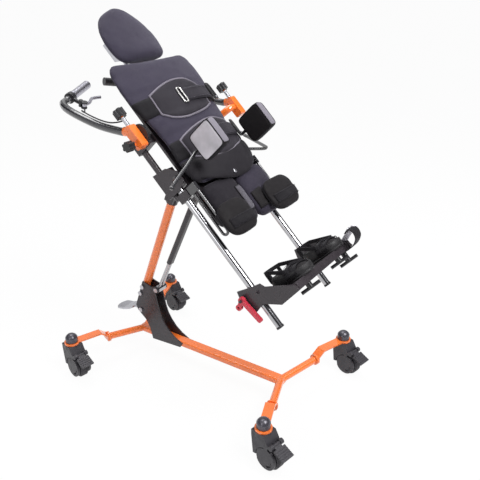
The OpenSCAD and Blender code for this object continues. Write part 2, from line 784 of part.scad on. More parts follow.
// Headrest on two rods that slide behind the panel
head_gap = 3;
head_low = back_low + back_len + head_gap;
post_low = 150;
post_plate_w = 110;
head_t = 52;
head_power = 2.4;
head_round = 24;
module head_post() {
    color(silver) on_board() {
        for (s = [-1, 1]) bar_v(s * post_x, post_n, post_r, head_low + head_len / 2, post_low);
        translate([-post_plate_w / 2, head_low + head_len / 4, post_n - post_r - clamp_wall])
            cube([post_plate_w, head_len / 3, pad_n - post_n + post_r + clamp_wall]);
    }
}
module headrest() {
    color(fabric) on_board() loft(pad_rings(head_low, head_len, head_w, pad_n + near, head_t, head_shares,
        head_power, 18, 26, head_round, edge_round));
}

// Orange crossbar, cranked round the back pad, with the toothed disc at its right end
disc_t = 9;
disc_at = [saddle_v, 62];
disc_teeth = 36;
disc_tooth = 1.5;
block_in = 220;
block_x = block_in + block_w / 2;
disc_gap = 1.2;
disc_in = block_in - disc_gap - disc_t;
crank_shares = [[1, 1], [.84, 1], [.66, .82], [.36, .22], [.2, .03], [0, 0]];
cross_straight_shares = [.95, .8, .5, .2];
pivot_r = 6;
pivot_in = 14;
// The crossbar ends flat, on the right at the toothed disc and on the left at the block, where it has its own pin
module handle_crossbar() {
    run = disc_in - clamp_out;
    rise = disc_at[1] - cross_n;
    end = [block_in, saddle_v, disc_at[1]];
    half = concat([end], [for (s = crank_shares) [clamp_out + s[0] * run, saddle_v, cross_n + s[1] * rise]],
        [for (s = cross_straight_shares) [clamp_out * s, saddle_v, cross_n]]);
    m = len(half) - 1;
    other = [for (i = [m:-1:0]) [-half[i][0], half[i][1], half[i][2]]];
    color(orange) on_board() {
        difference() {
            sweep(smooth(concat(half, other), 2), cross_r, 16, [0, 1, 0]);
            bar_x(disc_at, disc_d, -2 * block_in, -disc_in);
            bar_x(disc_at, disc_d, block_in - near, 2 * block_in);
        }
        bar_x(disc_at, pivot_r, disc_in, block_in + pivot_in);
    }
}
module toothed_discs() {
    color(black) on_board() {
        plate(-disc_in - disc_t, disc_t) translate(disc_at)
            polygon([for (k = [0:2 * disc_teeth - 1]) (disc_d / 2 - disc_tooth * (k % 2))
                * [cos(180 * k / disc_teeth), sin(180 * k / disc_teeth)]]);
        bar_x(disc_at, pivot_r, -block_in - pivot_in, -disc_in - over);
    }
}

// Handle blocks, bars, grips and star knobs. The right-hand set is drawn and the left is its mirror image.
block_len = 68;
block_h = 26;
block_corner = 6;
stud_r = 4;
stud_len = 46;
stud_n = 64;
star_r = 16;
star_h = 22;
star_in = 16;
side_stud = [105, 57];
side_stud_len = 30;
side_knob_r = 14;
boss_wall = 2.5;
boss_in = 15;
boss_out = 6;
boss_rim = 1.8;
handle_axis = from_board(0, disc_at);
bar_reach = 375;
bar_rise = 71;
bar_off = [31, 10.3];
bar_start = handle_axis + [-block_x, bar_off[0], bar_off[1]];
bar_way = unit([0, 1, -.12]);
bar_run_in = 22;
grip_start_shares = [-.58, .903, .76];
grip_way = unit([.922, .352, .162]);
bar_shares = [[-1, .335, .18], [-.995, .545, .40], [-.945, .715, .57], [-.845, .82, .645]];
bar_sizes = [block_x, bar_reach, bar_rise];
grip_from = handle_axis + scaled([grip_start_shares], bar_sizes)[0];
grip_len = 106;
grip_cap = 6;
grip_bore = 97;
bar_in_grip = 96;
bar_straight = [44, 30];
bar_points = concat([for (k = [0, 0.5, 1]) bar_start + k * bar_run_in * bar_way],
    [for (s = scaled(bar_shares, bar_sizes)) handle_axis + s],
    [for (s = bar_straight) grip_from - s * grip_way], [grip_from, grip_from + bar_in_grip * grip_way]);
block_top = saddle_v + block_len / 2;
module block(side_stud_too) {
    color(orange) difference() {
        union() {
            on_board() {
                plate(-block_in - block_w, block_w) translate(disc_at) rounded(block_len, block_h, block_corner);
                bar_v(-block_x, stud_n, stud_r, block_top + stud_len, block_top - over);
                if (side_stud_too) bar_x(side_stud, stud_r, -block_in - block_w - side_stud_len, -block_x);
            }
            rod(bar_start - boss_in * bar_way, bar_start + boss_out * bar_way, bar_d / 2 + boss_rim);
        }
        on_board() bar_x(disc_at, pivot_r + fit, -block_in - pivot_in - over, over - block_in);
        rod(bar_start - over * bar_way, bar_start + 2 * boss_out * bar_way, bar_d / 2 + fit);
    }
}
module right_block() {
    block(true);
}
module left_block() {
    mirror([1, 0, 0]) block(false);
}
module handlebar() {
    color(black) sweep(smooth(bar_points, 4), bar_d / 2, 14, [0, 0, 1]);
}
module right_handlebar() {
    handlebar();
}
module left_handlebar() {
    mirror([1, 0, 0]) handlebar();
}
module grip() {
    color(silver) difference() {
        union() {
            rod(grip_from, grip_from + grip_len * grip_way, grip_d / 2);
            rod(grip_from, grip_from + grip_cap * grip_way, grip_d / 2 + boss_wall);
        }
        rod(grip_from - over * grip_way, grip_from + grip_bore * grip_way, bar_d / 2 + fit);
    }
}
module right_grip() {
    grip();
}
module left_grip() {
    mirror([1, 0, 0]) grip();
}
module top_knob() {
    color(black) on_board() translate([-block_x, block_top + stud_len - star_in, stud_n]) rotate([-90, 0, 0])
        star(star_r, star_h, stud_r + fit, star_in + over);
}
module right_star_knob() {
    top_knob();
}
module left_star_knob() {
    mirror([1, 0, 0]) top_knob();
}
module side_knob() {
    x = -block_in - block_w - side_stud_len + star_in;
    color(black) on_board() translate([x, side_stud[0], side_stud[1]]) rotate([0, -90, 0])
        star(side_knob_r, star_h, stud_r + fit, star_in + over);
}

// Brake lever on the right-hand bar, with its cable along the bar
perch_back = 10;
perch_w = 14;
perch_r = 16;
perch_arm_r = 6;
perch_off = [4, -52, -16];
perch_at = grip_from - perch_back * grip_way;
lever_pivot = perch_at + perch_off;
perch_way = unit(perch_at - lever_pivot);
fork_r = 9;
fork_in = 6;
fork_out = 10;
fork_back = 13.5;
fork_back_r = 6;
lever_axis = unit(cross(perch_way, grip_way));
lever_barrel_r = 5.5;
lever_gap = 0.5;
lever_r = 5;
lever_len = 96;
lever_shares = [[.03, -.01], [.28, -.06], [.52, .0], [.7, -.07], [.88, -.18]];
lever_points = [for (s = lever_shares) lever_pivot + lever_len * (s[0] * grip_way + s[1] * perch_way)];
module brake_perch() {
    web = lever_pivot + fork_back * perch_way;
    color(black) difference() {
        union() {
            rod(perch_at - perch_w / 2 * grip_way, perch_at + perch_w / 2 * grip_way, perch_r);
            rod(web, perch_at, perch_arm_r);
            for (s = [-1, 1]) rod(lever_pivot + s * fork_in * lever_axis, lever_pivot + s * fork_out * lever_axis,
                fork_r);
            rod(lever_pivot - fork_out * lever_axis, lever_pivot + fork_out * lever_axis, brake_pin_r);
            rod(web - fork_out * lever_axis, web + fork_out * lever_axis, fork_back_r);
        }
        rod(perch_at - perch_w * grip_way, perch_at + perch_w * grip_way, bar_d / 2 + fit);
    }
}
module brake_lever() {
    half = fork_in - lever_gap;
    color(silver) difference() {
        union() {
            rod(lever_pivot - half * lever_axis, lever_pivot + half * lever_axis, lever_barrel_r);
            sweep(smooth(lever_points, 4), lever_r, 8, lever_axis);
        }
        rod(lever_pivot - fork_out * lever_axis, lever_pivot + fork_out * lever_axis, brake_pin_r + fit);
    }
}
cable_r = 2;
cable_route = [[-150, 272, 25], [-168, 254, 23], [-190, 238, 31], [-208, 220, 39], [-222, 200, 42],
    [-231, 170, 38], [-234, 126, 30], [-234, 90, 27], [-233, 62, 31], [-232, 42, 37]];
module brake_cable() {
    color(black) sweep(smooth([for (p = cable_route) handle_axis + p], 3), cable_r, 8, [0, 0, 1]);
}

// Lateral supports: bent rods that swing on the hip clamps, each with a pad
lateral_r = 5;
lateral_out = clamp_out + gusset_t + lateral_boss_r;
lateral_reach = 68;
lateral_tall = 84;
lateral_shares = [[0, 0, 0], [-.12, -.02, .04], [-.81, -.31, .23], [-.97, -.33, .29], [-.84, -.27, .34],
    [.15, .07, .60], [.74, .29, .76], [.9, .31, .84], [.93, .31, .97]];
lateral_pad_at = [-118, 9, 164];
lateral_pad_l = 84;
lateral_pad_w = 88;
lateral_pad_t = 32;
lateral_pad_power = 4;
lateral_pad_round = 14;
lateral_pad_edge = 8;
lateral_ref = [.3, -.2, .9];
module lateral() {
    root = [-lateral_out, lateral_at[0], lateral_at[1]];
    color(chrome) on_board() difference() {
        union() {
            bar_x(lateral_at, lateral_boss_r, near - lateral_out - lateral_boss_r, -clamp_out - gusset_t - near);
            sweep(smooth([for (s = scaled(lateral_shares, [lateral_reach, lateral_tall, lateral_tall])) root + s], 4),
                lateral_r, 10, lateral_ref);
        }
        bar_x(lateral_at, lateral_pin_r + fit, -2 * rail_x, 0);
    }
}
module lateral_pad() {
    color(black) on_board() translate(lateral_pad_at) rotate([0, 90, 0])
        loft(pad_rings(-lateral_pad_l / 2, lateral_pad_l, lateral_pad_w, -lateral_pad_t / 2, lateral_pad_t,
            flat_shares, lateral_pad_power, 10, 24, lateral_pad_round, lateral_pad_edge));
}
module right_lateral() {
    lateral();
}
module left_lateral() {
    mirror([1, 0, 0]) lateral();
}
module right_lateral_pad() {
    lateral_pad();
}
module left_lateral_pad() {
    mirror([1, 0, 0]) lateral_pad();
}

// Foot support: side brackets on the rails, a cross bar and a foot plate
foot_shares = [[0, .05], [-.232, .01], [-.53, 0], [-.75, .035], [-.78, .14], [-.69, .32], [-1, .60], [-.93, 1],
    [-.74, .97], [-.33, .52], [-.18, .48], [-.12, .30]];
foot_at = rail_len - foot_up;
foot_t = 5;
foot_rise = 44;
foot_span = 97;
foot_reach = 190;
foot_low_n = -45;
foot_x = clamp_out + over;
collar_half = 26;
bar_fall = 28;
bar_top = -foot_at - bar_fall;
bar_h = 18;
bar_n = 122;
bar_w = 46;
sheet_t = 4;
sheet_n = 40;
knob_stud_r = 5;
toe_stud_r = 4;
toe_stud_in = 12;
toe_x = 132;
lever_off = [17, -29];
lever_at = lever_off - [foot_at, 0];
lever_pin_len = 22;
bracket_hole_r = 6;
hole_off = [10.5, 27];
bracket_hole = hole_off - [foot_at, 0];
slot_off = [-15, -33];
bracket_slot = slot_off - [foot_at, 0];
slot_size = [12, 5];
slot_turn = -35;
module foot_carriage() {
    color(black) on_board() difference() {
        union() {
            both_sides() difference() {
                union() {
                    plate(foot_x, foot_t) translate([foot_rise - foot_at, foot_low_n])
                        polygon(scaled(foot_shares, [foot_span, foot_reach]));
                    translate([clamp_in, -foot_at - collar_half, -clamp_half])
                        cube([foot_x - clamp_in + over, 2 * collar_half, 2 * clamp_half]);
                }
                bar_v(rail_x, 0, rail_d / 2 + fit, 0, -rail_len);
                bar_x(bracket_hole, bracket_hole_r, foot_x - over, foot_x + 2 * foot_t);
                plate(foot_x - over, foot_t + 2 * over) translate(bracket_slot) rotate(slot_turn)
                    rounded(slot_size[0], slot_size[1], slot_size[1] / 2 - fit);
            }
            bar_x(lever_at, stud_r, -foot_x - foot_t - lever_pin_len, -foot_x - over);
            translate([-foot_x, bar_top - bar_h, bar_n - bar_w / 2]) cube([2 * foot_x, bar_h, bar_w]);
            translate([-foot_x, bar_top - over, sheet_n])
                cube([2 * foot_x, sheet_t + over, bar_n + bar_w / 2 - sheet_n]);
        }
        for (s = [-1, 1]) bar_v(s * sandal_gap / 2, bar_n, knob_stud_r + fit, bar_top + 2 * sheet_t,
            bar_top - 2 * bar_h);
        bar_v(toe_x, bar_n, toe_stud_r + fit, bar_top - bar_h + toe_stud_in + over, bar_top - 2 * bar_h);
    }
}
lever_arm = [-71, 11];
lever_end = lever_at + lever_arm;
lever_hook = [-11, -23];
lever_eye = lever_at + lever_hook;
lever_hub_r = 10;
lever_w = 12;
lever_t = 11;
lever_gap_x = 4;
module clamp_lever() {
    x0 = -foot_x - foot_t - lever_gap_x - lever_t;
    color(red) on_board() difference() {
        union() {
            bar_x(lever_at, lever_hub_r, x0, x0 + lever_t);
            bar_x(lever_end, lever_w / 2, x0, x0 + lever_t);
            bar_x(lever_eye, lever_hub_r - over, x0, x0 + lever_t);
            plate(x0, lever_t) strip([lever_at, lever_end], lever_w);
            plate(x0, lever_t) strip([lever_at, lever_eye], lever_w);
        }
        bar_x(lever_at, stud_r + fit, -2 * foot_x, 0);
        bar_x(lever_eye, stud_r, -2 * foot_x, 0);
    }
}

// Sandals: soles with a heel cup, an instep strap and a toe strap
sandal_len = 138;
sandal_heel = 26;
sole_t = 12;
strap_t = 4;
heel_share = 0.9;
cup_share = 0.55;
strap_w_share = 1.04;
instep_shares = [.40, .20, 1.16];
toe_shares = [.72, .17, .66];
arch_power = 0.7;
sole_top = bar_top + sheet_t + sole_t;
module foot_outline(w) {
    r = w / 2;
    heel = sandal_heel + sandal_w / 2;
    toe = sandal_heel + sandal_len - sandal_w / 2;
    translate([0, heel]) circle(r * heel_share);
    translate([0, toe]) circle(r);
    polygon([[-r * heel_share, heel], [r * heel_share, heel], [r, toe], [-r, toe]]);
}
module lower_by(v, h) {
    translate([0, v, 0]) rotate([90, 0, 0]) linear_extrude(h) children();
}
module arch(w, h, t) {
    polygon(concat([for (a = [0:9:180]) [w / 2 * cos(a), h * pow(sin(a), arch_power)]],
        [for (a = [180:-9:0]) [(w / 2 - t) * cos(a), (h - t) * pow(sin(a), arch_power)]]));
}
// A strap's shares are its place and width along the sandal, and its height to the heel cup's
module strap(shares) {
    translate([0, sole_top - over, sandal_heel + sandal_len * shares[0]]) linear_extrude(sandal_len * shares[1])
        arch(sandal_w * strap_w_share, heel_h * shares[2], strap_t);
}
module sandal() {
    color(black) on_board() translate([-sandal_gap / 2, 0, 0]) {
        lower_by(sole_top, sole_t) foot_outline(sandal_w);
        difference() {
            lower_by(sole_top + heel_h, heel_h + over) difference() {
                foot_outline(sandal_w);
                foot_outline(sandal_w - 2 * strap_t);
            }
            translate([-sandal_w, sole_top, sandal_heel + sandal_len * cup_share])
                cube([2 * sandal_w, 2 * heel_h, sandal_len]);
        }
        strap(instep_shares);
        strap(toe_shares);
        bar_v(0, bar_n, knob_stud_r, sole_top - sole_t / 2, bar_top - bar_h - knob_in + over);
    }
}
module right_sandal() {
    sandal();
}
module left_sandal() {
    mirror([1, 0, 0]) sandal();
}
// T-shaped knobs under the foot bar, and the toe loop that one of them clamps
knob_in = 13;
knob_hub_r = 9;
knob_hub_h = 15;
knob_bar_r = 5;
knob_bar_len = 60;
knob_turn = 55;
loop_w = 34;
loop_t = 3;
loop_tall = 46;
loop_deep = 96;
loop_shares = [[0, 0], [0, .36], [0, .72], [.40, .97], [.72, 1], [.96, .95], [1.02, .85], [.95, .74]];
toe_hub_h = 27;
module t_knob(hub) {
    union() {
        cylinder(r = knob_hub_r, h = hub);
        rotate(knob_turn) translate([0, 0, hub]) rotate([0, 90, 0])
            cylinder(r = knob_bar_r, h = knob_bar_len, center = true);
    }
}
module foot_knob(side) {
    color(black) on_board() translate([side * sandal_gap / 2, bar_top - bar_h - near, bar_n]) rotate([90, 0, 0])
        difference() {
            t_knob(knob_hub_h);
            translate([0, 0, -over]) cylinder(r = knob_stud_r + fit, h = knob_in + over);
        }
}
module right_foot_knob() {
    foot_knob(-1);
}
module left_foot_knob() {
    foot_knob(1);
}
module toe_loop() {
    low = [bar_top - bar_h - loop_t / 2, bar_n - loop_w / 2];
    color(grey) on_board() difference() {
        plate(toe_x - loop_w / 2, loop_w)
            strip([for (s = scaled(loop_shares, [loop_tall, loop_deep])) low + s], loop_t);
        bar_v(toe_x, bar_n, toe_stud_r + over, bar_top, bar_top - 2 * bar_h);
    }
}
module toe_knob() {
    color(black) on_board() translate([toe_x, bar_top - bar_h - loop_t - near, bar_n]) rotate([90, 0, 0]) {
        t_knob(toe_hub_h);
        translate([0, 0, -loop_t - near - toe_stud_in]) cylinder(r = toe_stud_r, h = toe_stud_in + loop_t + 2 * near);
    }
}

base_frame();
caster_caps();
tower_plates();
pivot_pins();
mast();
mast_head();
foot_pedal();
strut_rods();
strut_sleeve();
at_caster(corners[0]) caster();  // front_right_caster
at_caster(corners[1]) caster();  // front_left_caster
at_caster(corners[2]) caster();  // rear_right_caster
at_caster(corners[3]) caster();  // rear_left_caster
at_caster(corners[0]) wheel();  // front_right_wheel
at_caster(corners[1]) wheel();  // front_left_wheel
at_caster(corners[2]) wheel();  // rear_right_wheel
at_caster(corners[3]) wheel();  // rear_left_wheel
at_caster(corners[0]) brake();  // front_right_brake
at_caster(corners[1]) brake();  // front_left_brake
at_caster(corners[2]) brake();  // rear_right_brake
at_caster(corners[3]) brake();  // rear_left_brake
cradle();
side_rails();
rail_caps();
frame_clamps();
pad_panel();
back_pad();
leg_pads();
leg_hairpins();
chest_belt();
hip_belts();
knee_cups();
head_post();
headrest();
handle_crossbar();
toothed_discs();
right_block();
left_block();
right_handlebar();
left_handlebar();
right_grip();
left_grip();
right_star_knob();
left_star_knob();
side_knob();
brake_perch();
brake_lever();
brake_cable();
right_lateral();
left_lateral();
right_lateral_pad();
left_lateral_pad();
foot_carriage();
clamp_lever();
right_sandal();
left_sandal();
right_foot_knob();
left_foot_knob();
toe_loop();
toe_knob();
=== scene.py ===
"""Looks of the tilting standing frame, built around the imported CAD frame. Metres, +Z up."""
import math

import bmesh
import bpy
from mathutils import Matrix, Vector, noise
from mathutils.bvhtree import BVHTree


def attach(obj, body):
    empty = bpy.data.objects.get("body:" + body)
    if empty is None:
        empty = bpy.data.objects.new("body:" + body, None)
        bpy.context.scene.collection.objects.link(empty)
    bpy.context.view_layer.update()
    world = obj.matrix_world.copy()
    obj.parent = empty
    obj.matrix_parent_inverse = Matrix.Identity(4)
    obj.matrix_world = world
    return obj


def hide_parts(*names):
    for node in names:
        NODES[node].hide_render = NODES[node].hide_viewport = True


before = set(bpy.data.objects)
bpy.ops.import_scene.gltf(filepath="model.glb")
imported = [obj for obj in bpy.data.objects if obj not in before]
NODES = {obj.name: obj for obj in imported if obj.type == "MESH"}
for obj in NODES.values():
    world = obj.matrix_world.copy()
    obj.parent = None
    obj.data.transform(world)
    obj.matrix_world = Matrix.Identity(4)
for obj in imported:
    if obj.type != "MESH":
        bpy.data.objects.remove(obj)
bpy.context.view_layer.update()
SCENE = bpy.context.scene

# The board's frame: x across, v up the board and n out of it, in millimetres
BOARD_Y = -0.07
BOARD_Z = 723.09
DIAGONAL = math.sqrt(0.5)
ACROSS = Vector((1, 0, 0))
UP_BOARD = Vector((0, DIAGONAL, DIAGONAL))
OUT = Vector((0, -DIAGONAL, DIAGONAL))


def at(x, v, n):
    """A point of the board as metres in the frame."""
    return Vector((x, BOARD_Y + (v - n) * DIAGONAL, BOARD_Z + (v + n) * DIAGONAL)) / 1000


def board_of(p):
    """The board's x, v and n of a point of the frame."""
    y = p.y * 1000 - BOARD_Y
    z = p.z * 1000 - BOARD_Z
    return p.x * 1000, (y + z) * DIAGONAL, (z - y) * DIAGONAL


# Camera at the photograph's place
PITCH = math.radians(24.1)
HEADING = Vector((0.8345, 0.5509, 0))
camera_data = bpy.data.cameras.new("camera")
camera_data.sensor_width = 36
camera_data.lens = 44.9
camera = bpy.data.objects.new("camera", camera_data)
SCENE.collection.objects.link(camera)
camera.location = (-1.3581, -1.0248, 1.244)
camera.rotation_mode = "QUATERNION"
look = HEADING.normalized() * math.cos(PITCH) - Vector((0, 0, math.sin(PITCH)))
camera.rotation_quaternion = look.to_track_quat("-Z", "Y")
SCENE.camera = camera
SCENE.view_settings.view_transform = "Standard"


# Materials
class Shader:
    """A material under construction: its node tree, its main shader and a few shortcuts."""

    def __init__(self, name):
        self.material = bpy.data.materials.new(name)
        self.material.use_nodes = True
        self.tree = self.material.node_tree
        self.main = self.tree.nodes["Principled BSDF"]
        self.place = self.add("ShaderNodeTexCoord").outputs["Object"]

    def add(self, kind, values=None, **settings):
        made = self.tree.nodes.new(kind)
        for key, value in settings.items():
            setattr(made, key, value)
        for key, value in (values or {}).items():
            self.feed(made.inputs[key], value)
        return made

    def feed(self, socket, value):
        if isinstance(value, bpy.types.NodeSocket):
            self.tree.links.new(value, socket)
        else:
            socket.default_value = value

    def noise(self, scale, detail=3.0, rough=0.55, place=None):
        made = self.add("ShaderNodeTexNoise", {"Vector": place or self.place, "Scale": scale,
                                               "Detail": detail, "Roughness": rough})
        return made.outputs["Fac"]

    def remap(self, value, low, high, start=0.3, stop=0.7):
        made = self.add("ShaderNodeMapRange", {"Value": value, "From Min": start, "From Max": stop,
                                               "To Min": low, "To Max": high})
        return made.outputs["Result"]

    def maths(self, kind, a, b):
        return self.add("ShaderNodeMath", {0: a, 1: b}, operation=kind).outputs[0]

    def mix(self, share, a, b):
        made = self.add("ShaderNodeMix", {"Factor": share}, data_type="RGBA")
        self.feed(made.inputs[6], a)
        self.feed(made.inputs[7], b)
        return made.outputs[2]

    def turned(self):
        """The board's own axes, so that a weave runs along them."""
        turn = (math.radians(-45), 0, 0)
        return self.add("ShaderNodeMapping", {"Vector": self.place, "Rotation": turn}).outputs[0]

    def bump(self, height, strength, depth, normal=None):
        made = self.add("ShaderNodeBump", {"Height": height, "Strength": strength, "Distance": depth})
        if normal:
            self.feed(made.inputs["Normal"], normal)
        return made.outputs["Normal"]


def rgb(r, g, b):
    """Screen colour, 0 to 255, as a linear colour."""
    linear = [((c / 255 + 0.055) / 1.055) ** 2.4 if c > 10 else c / 3294.6 for c in (r, g, b)]
    return tuple(linear) + (1.0,)


def scaled(colour, k):
    return tuple(min(1.0, c * k) for c in colour[:3]) + (1.0,)


def finish_of(name, colour, rough, metal=0.0, vary=0.12, grain=1800.0, bumpy=0.1, depth=0.0002, edge=0.0,
              edge_wear_and_highlight_colour=None, spread=9.0, coat=0.0, specular=0.5):
    """A hard finish: broad colour drift, fine grain, rough patches and softly rounded edges, lightened in
    patches partly as wear and partly as a painted highlight.
    """
    s = Shader(name)
    drift = s.remap(s.noise(spread, 4.0), 0.0, 1.0)
    base = s.mix(drift, scaled(colour, 1 - vary), scaled(colour, 1 + vary))
    soft_edge = s.add("ShaderNodeBevel", {"Radius": 0.0012}, samples=4).outputs[0]
    # Edges get a lighter colour in patches: partly wear, partly a painted highlight along them.
    if edge:
        flat = s.add("ShaderNodeNewGeometry").outputs["Normal"]
        ways = {0: soft_edge, 1: flat}
        turn = s.add("ShaderNodeVectorMath", ways, operation="DOT_PRODUCT").outputs["Value"]
        edge_wear_and_highlight = s.remap(turn, edge, 0.0, 0.7, 0.93)
        patchy_edge_wear_and_highlight = s.maths("MULTIPLY", edge_wear_and_highlight, s.remap(s.noise(140.0), 0.25, 1.0))
        base = s.mix(patchy_edge_wear_and_highlight, base, edge_wear_and_highlight_colour or scaled(colour, 1.7))
    s.feed(s.main.inputs["Base Color"], base)
    s.main.inputs["Metallic"].default_value = metal
    s.main.inputs["Specular IOR Level"].default_value = specular
    s.main.inputs["Coat Weight"].default_value = coat
    s.main.inputs["Coat Roughness"].default_value = 0.12
    wear = s.noise(55.0, 5.0)
    s.feed(s.main.inputs["Roughness"], s.remap(wear, rough * 0.75, rough * 1.25))
    s.feed(s.main.inputs["Normal"], s.bump(s.noise(grain, 2.0), bumpy, depth, soft_edge))
    return s.material


def brushed(name, colour, rough):
    """Turned or drawn metal with fine streaks."""
    s = Shader(name)
    long = s.add("ShaderNodeMapping", {"Vector": s.place, "Scale": (1.0, 0.12, 1.0)}).outputs[0]
    streak = s.noise(900.0, 3.0, 0.6, long)
    patch = s.remap(s.noise(30.0), 0.0, 1.0)
    s.feed(s.main.inputs["Base Color"], s.mix(patch, scaled(colour, 0.82), colour))
    s.main.inputs["Metallic"].default_value = 1.0
    s.feed(s.main.inputs["Roughness"], s.remap(streak, rough * 0.75, rough * 1.3))
    soft_edge = s.add("ShaderNodeBevel", {"Radius": 0.001}, samples=4).outputs[0]
    s.feed(s.main.inputs["Normal"], s.bump(streak, min(0.06, rough * 0.2), 0.0002, soft_edge))
    return s.material


def cloth(name, colour, sheen, rough=0.85, thread=0.0011, weave=0.35, tint=(0.8, 0.78, 0.9, 1.0)):
    """Knitted or woven cover: crossed ribs of a real thread size, fuzz, slow colour drift and sheen."""
    s = Shader(name)
    axes = s.turned()
    ribs = []
    for direction in ("X", "Y"):
        made = s.add("ShaderNodeTexWave", {"Vector": axes, "Scale": 0.314 / thread, "Distortion": 0.6,
                                           "Detail": 1.0, "Detail Scale": 2.0},
                     wave_type="BANDS", bands_direction=direction)
        ribs.append(made.outputs["Fac"])
    knit = s.maths("MULTIPLY", ribs[0], ribs[1])
    drift = s.remap(s.noise(7.0, 4.0), 0.0, 1.0)
    fuzz = s.maths("MULTIPLY", drift, s.remap(knit, 0.75, 1.0, 0.0, 1.0))
    s.feed(s.main.inputs["Base Color"], s.mix(fuzz, scaled(colour, 0.86), scaled(colour, 1.14)))
    s.feed(s.main.inputs["Roughness"], s.remap(s.noise(40.0), rough * 0.9, min(1.0, rough * 1.1)))
    s.main.inputs["Specular IOR Level"].default_value = 0.25
    s.main.inputs["Sheen Weight"].default_value = sheen
    s.main.inputs["Sheen Roughness"].default_value = 0.45
    s.main.inputs["Sheen Tint"].default_value = tint
    height = s.maths("ADD", knit, s.maths("MULTIPLY", s.noise(420.0), 0.5))
    s.feed(s.main.inputs["Normal"], s.bump(height, weave, 0.0004))
    return s.material


# The lighter edge colours below are partly wear and partly a painted highlight along the edges.
ORANGE = finish_of("orange_paint", rgb(246, 120, 44), 0.3, vary=0.05, grain=900, bumpy=0.015, edge=0.4,
                   edge_wear_and_highlight_colour=rgb(253, 190, 140), coat=1.0)
BLACK = finish_of("black_paint", rgb(54, 49, 53), 0.3, vary=0.16, grain=2600, bumpy=0.12, edge=0.3,
                  edge_wear_and_highlight_colour=rgb(92, 90, 95))
GLOSS = finish_of("gloss_black", rgb(34, 33, 37), 0.2, vary=0.1, grain=1800, bumpy=0.03, coat=0.8,
                  specular=0.9)
CHROME = brushed("chrome_steel", (0.5, 0.5, 0.52, 1.0), 0.08)
RING = brushed("ring_steel", (0.94, 0.93, 0.9, 1.0), 0.3)
METAL = brushed("bare_metal", (0.58, 0.58, 0.62, 1.0), 0.3)
CASTER = finish_of("caster_plastic", rgb(52, 50, 55), 0.45, vary=0.12, grain=3200, bumpy=0.2, edge=0.35,
                   edge_wear_and_highlight_colour=rgb(122, 120, 126))
CAP = finish_of("cap_plastic", rgb(74, 72, 80), 0.3, metal=0.4, vary=0.1, grain=2400, bumpy=0.03,
                specular=0.9)
RUBBER = finish_of("wheel_rubber", rgb(46, 44, 49), 0.62, vary=0.2, grain=1500, bumpy=0.25)
SOLE = finish_of("sole_foam", rgb(19, 17, 20), 0.6, vary=0.2, grain=1200, bumpy=0.3)
PLASTIC = finish_of("black_plastic", rgb(33, 32, 35), 0.34, vary=0.15, grain=2400, bumpy=0.2, edge=0.3,
                    edge_wear_and_highlight_colour=rgb(88, 86, 91))
SILVER = finish_of("grip_silver", rgb(182, 181, 190), 0.32, metal=0.9, vary=0.06, grain=700, bumpy=0.03)
RED = finish_of("red_plastic", rgb(200, 58, 74), 0.35, vary=0.08, grain=2000, bumpy=0.08, edge=0.3,
                edge_wear_and_highlight_colour=rgb(240, 150, 160))
FABRIC = cloth("pad_fabric", rgb(53, 49, 63), 0.22)
# The two leg cushions are of one fabric: the right one gets a darker copy as painted shade, the left one a
# lighter copy as painted light.
SHADED_LEG_FABRIC = cloth("leg_fabric", rgb(30, 27, 33), 0.12, tint=(0.8, 0.75, 0.85, 1.0))
STRAP = cloth("strap_cloth", rgb(24, 22, 26), 0.06, thread=0.0016, weave=0.5, tint=(0.9, 0.9, 0.95, 1.0))
PANEL = cloth("panel_cloth", rgb(40, 37, 43), 0.12, thread=0.0009, weave=0.25)
NEOPRENE = cloth("neoprene", rgb(23, 20, 22), 0.05, rough=0.75, thread=0.0008, weave=0.2)
PIPING = cloth("piping", rgb(118, 113, 123), 0.25, thread=0.0009)
LINING = cloth("lining", rgb(226, 223, 230), 0.3, rough=0.9, thread=0.0012, weave=0.4)
LIT_LEG_FABRIC = cloth("left_leg_fabric", rgb(46, 42, 54), 0.2)
SHOE = cloth("shoe_cloth", rgb(20, 17, 19), 0.05, rough=0.7, thread=0.001, weave=0.3)
PELVIC = cloth("pelvic_cloth", rgb(27, 24, 29), 0.07, rough=0.7, thread=0.0008, weave=0.2)
FLEECE = cloth("loop_fabric", rgb(76, 73, 79), 0.4, rough=0.95, thread=0.0014, weave=0.6)
PALE = cloth("pad_skin", rgb(124, 120, 129), 0.2, thread=0.0009, weave=0.2)
VINYL = finish_of("pad_vinyl", rgb(186, 182, 188), 0.4, vary=0.18, grain=900, bumpy=0.3, depth=0.0004,
                  spread=22)

COATS = {
    ORANGE: ["base_frame", "mast", "handle_crossbar", "right_block", "left_block"],
    BLACK: ["tower_plates", "mast_head", "strut_sleeve", "cradle", "frame_clamps", "pad_panel",
            "foot_carriage"],
    GLOSS: ["right_handlebar", "left_handlebar", "leg_hairpins", "right_lateral", "left_lateral"],
    CHROME: ["side_rails", "strut_rods"],
    METAL: ["pivot_pins", "foot_pedal", "head_post"],
    PLASTIC: ["rail_caps", "toothed_discs", "right_star_knob", "left_star_knob", "side_knob", "brake_perch",
              "right_foot_knob", "left_foot_knob", "toe_knob", "left_grip"],
    SILVER: ["right_grip", "brake_lever"],
    RED: ["clamp_lever"],
    CAP: ["caster_caps"],
}
for corner in ("front_right", "front_left", "rear_right", "rear_left"):
    COATS.setdefault(CASTER, []).extend([corner + "_caster", corner + "_brake"])
    COATS.setdefault(RUBBER, []).append(corner + "_wheel")
for coat, names in COATS.items():
    for name in names:
        slots = NODES[name].data.materials
        slots.clear()
        slots.append(coat)


# Mesh helpers
def subdivide_finely(made, levels=1):
    finer = made.modifiers.new("subdivide", "SUBSURF")
    finer.render_levels = levels
    finer.levels = levels


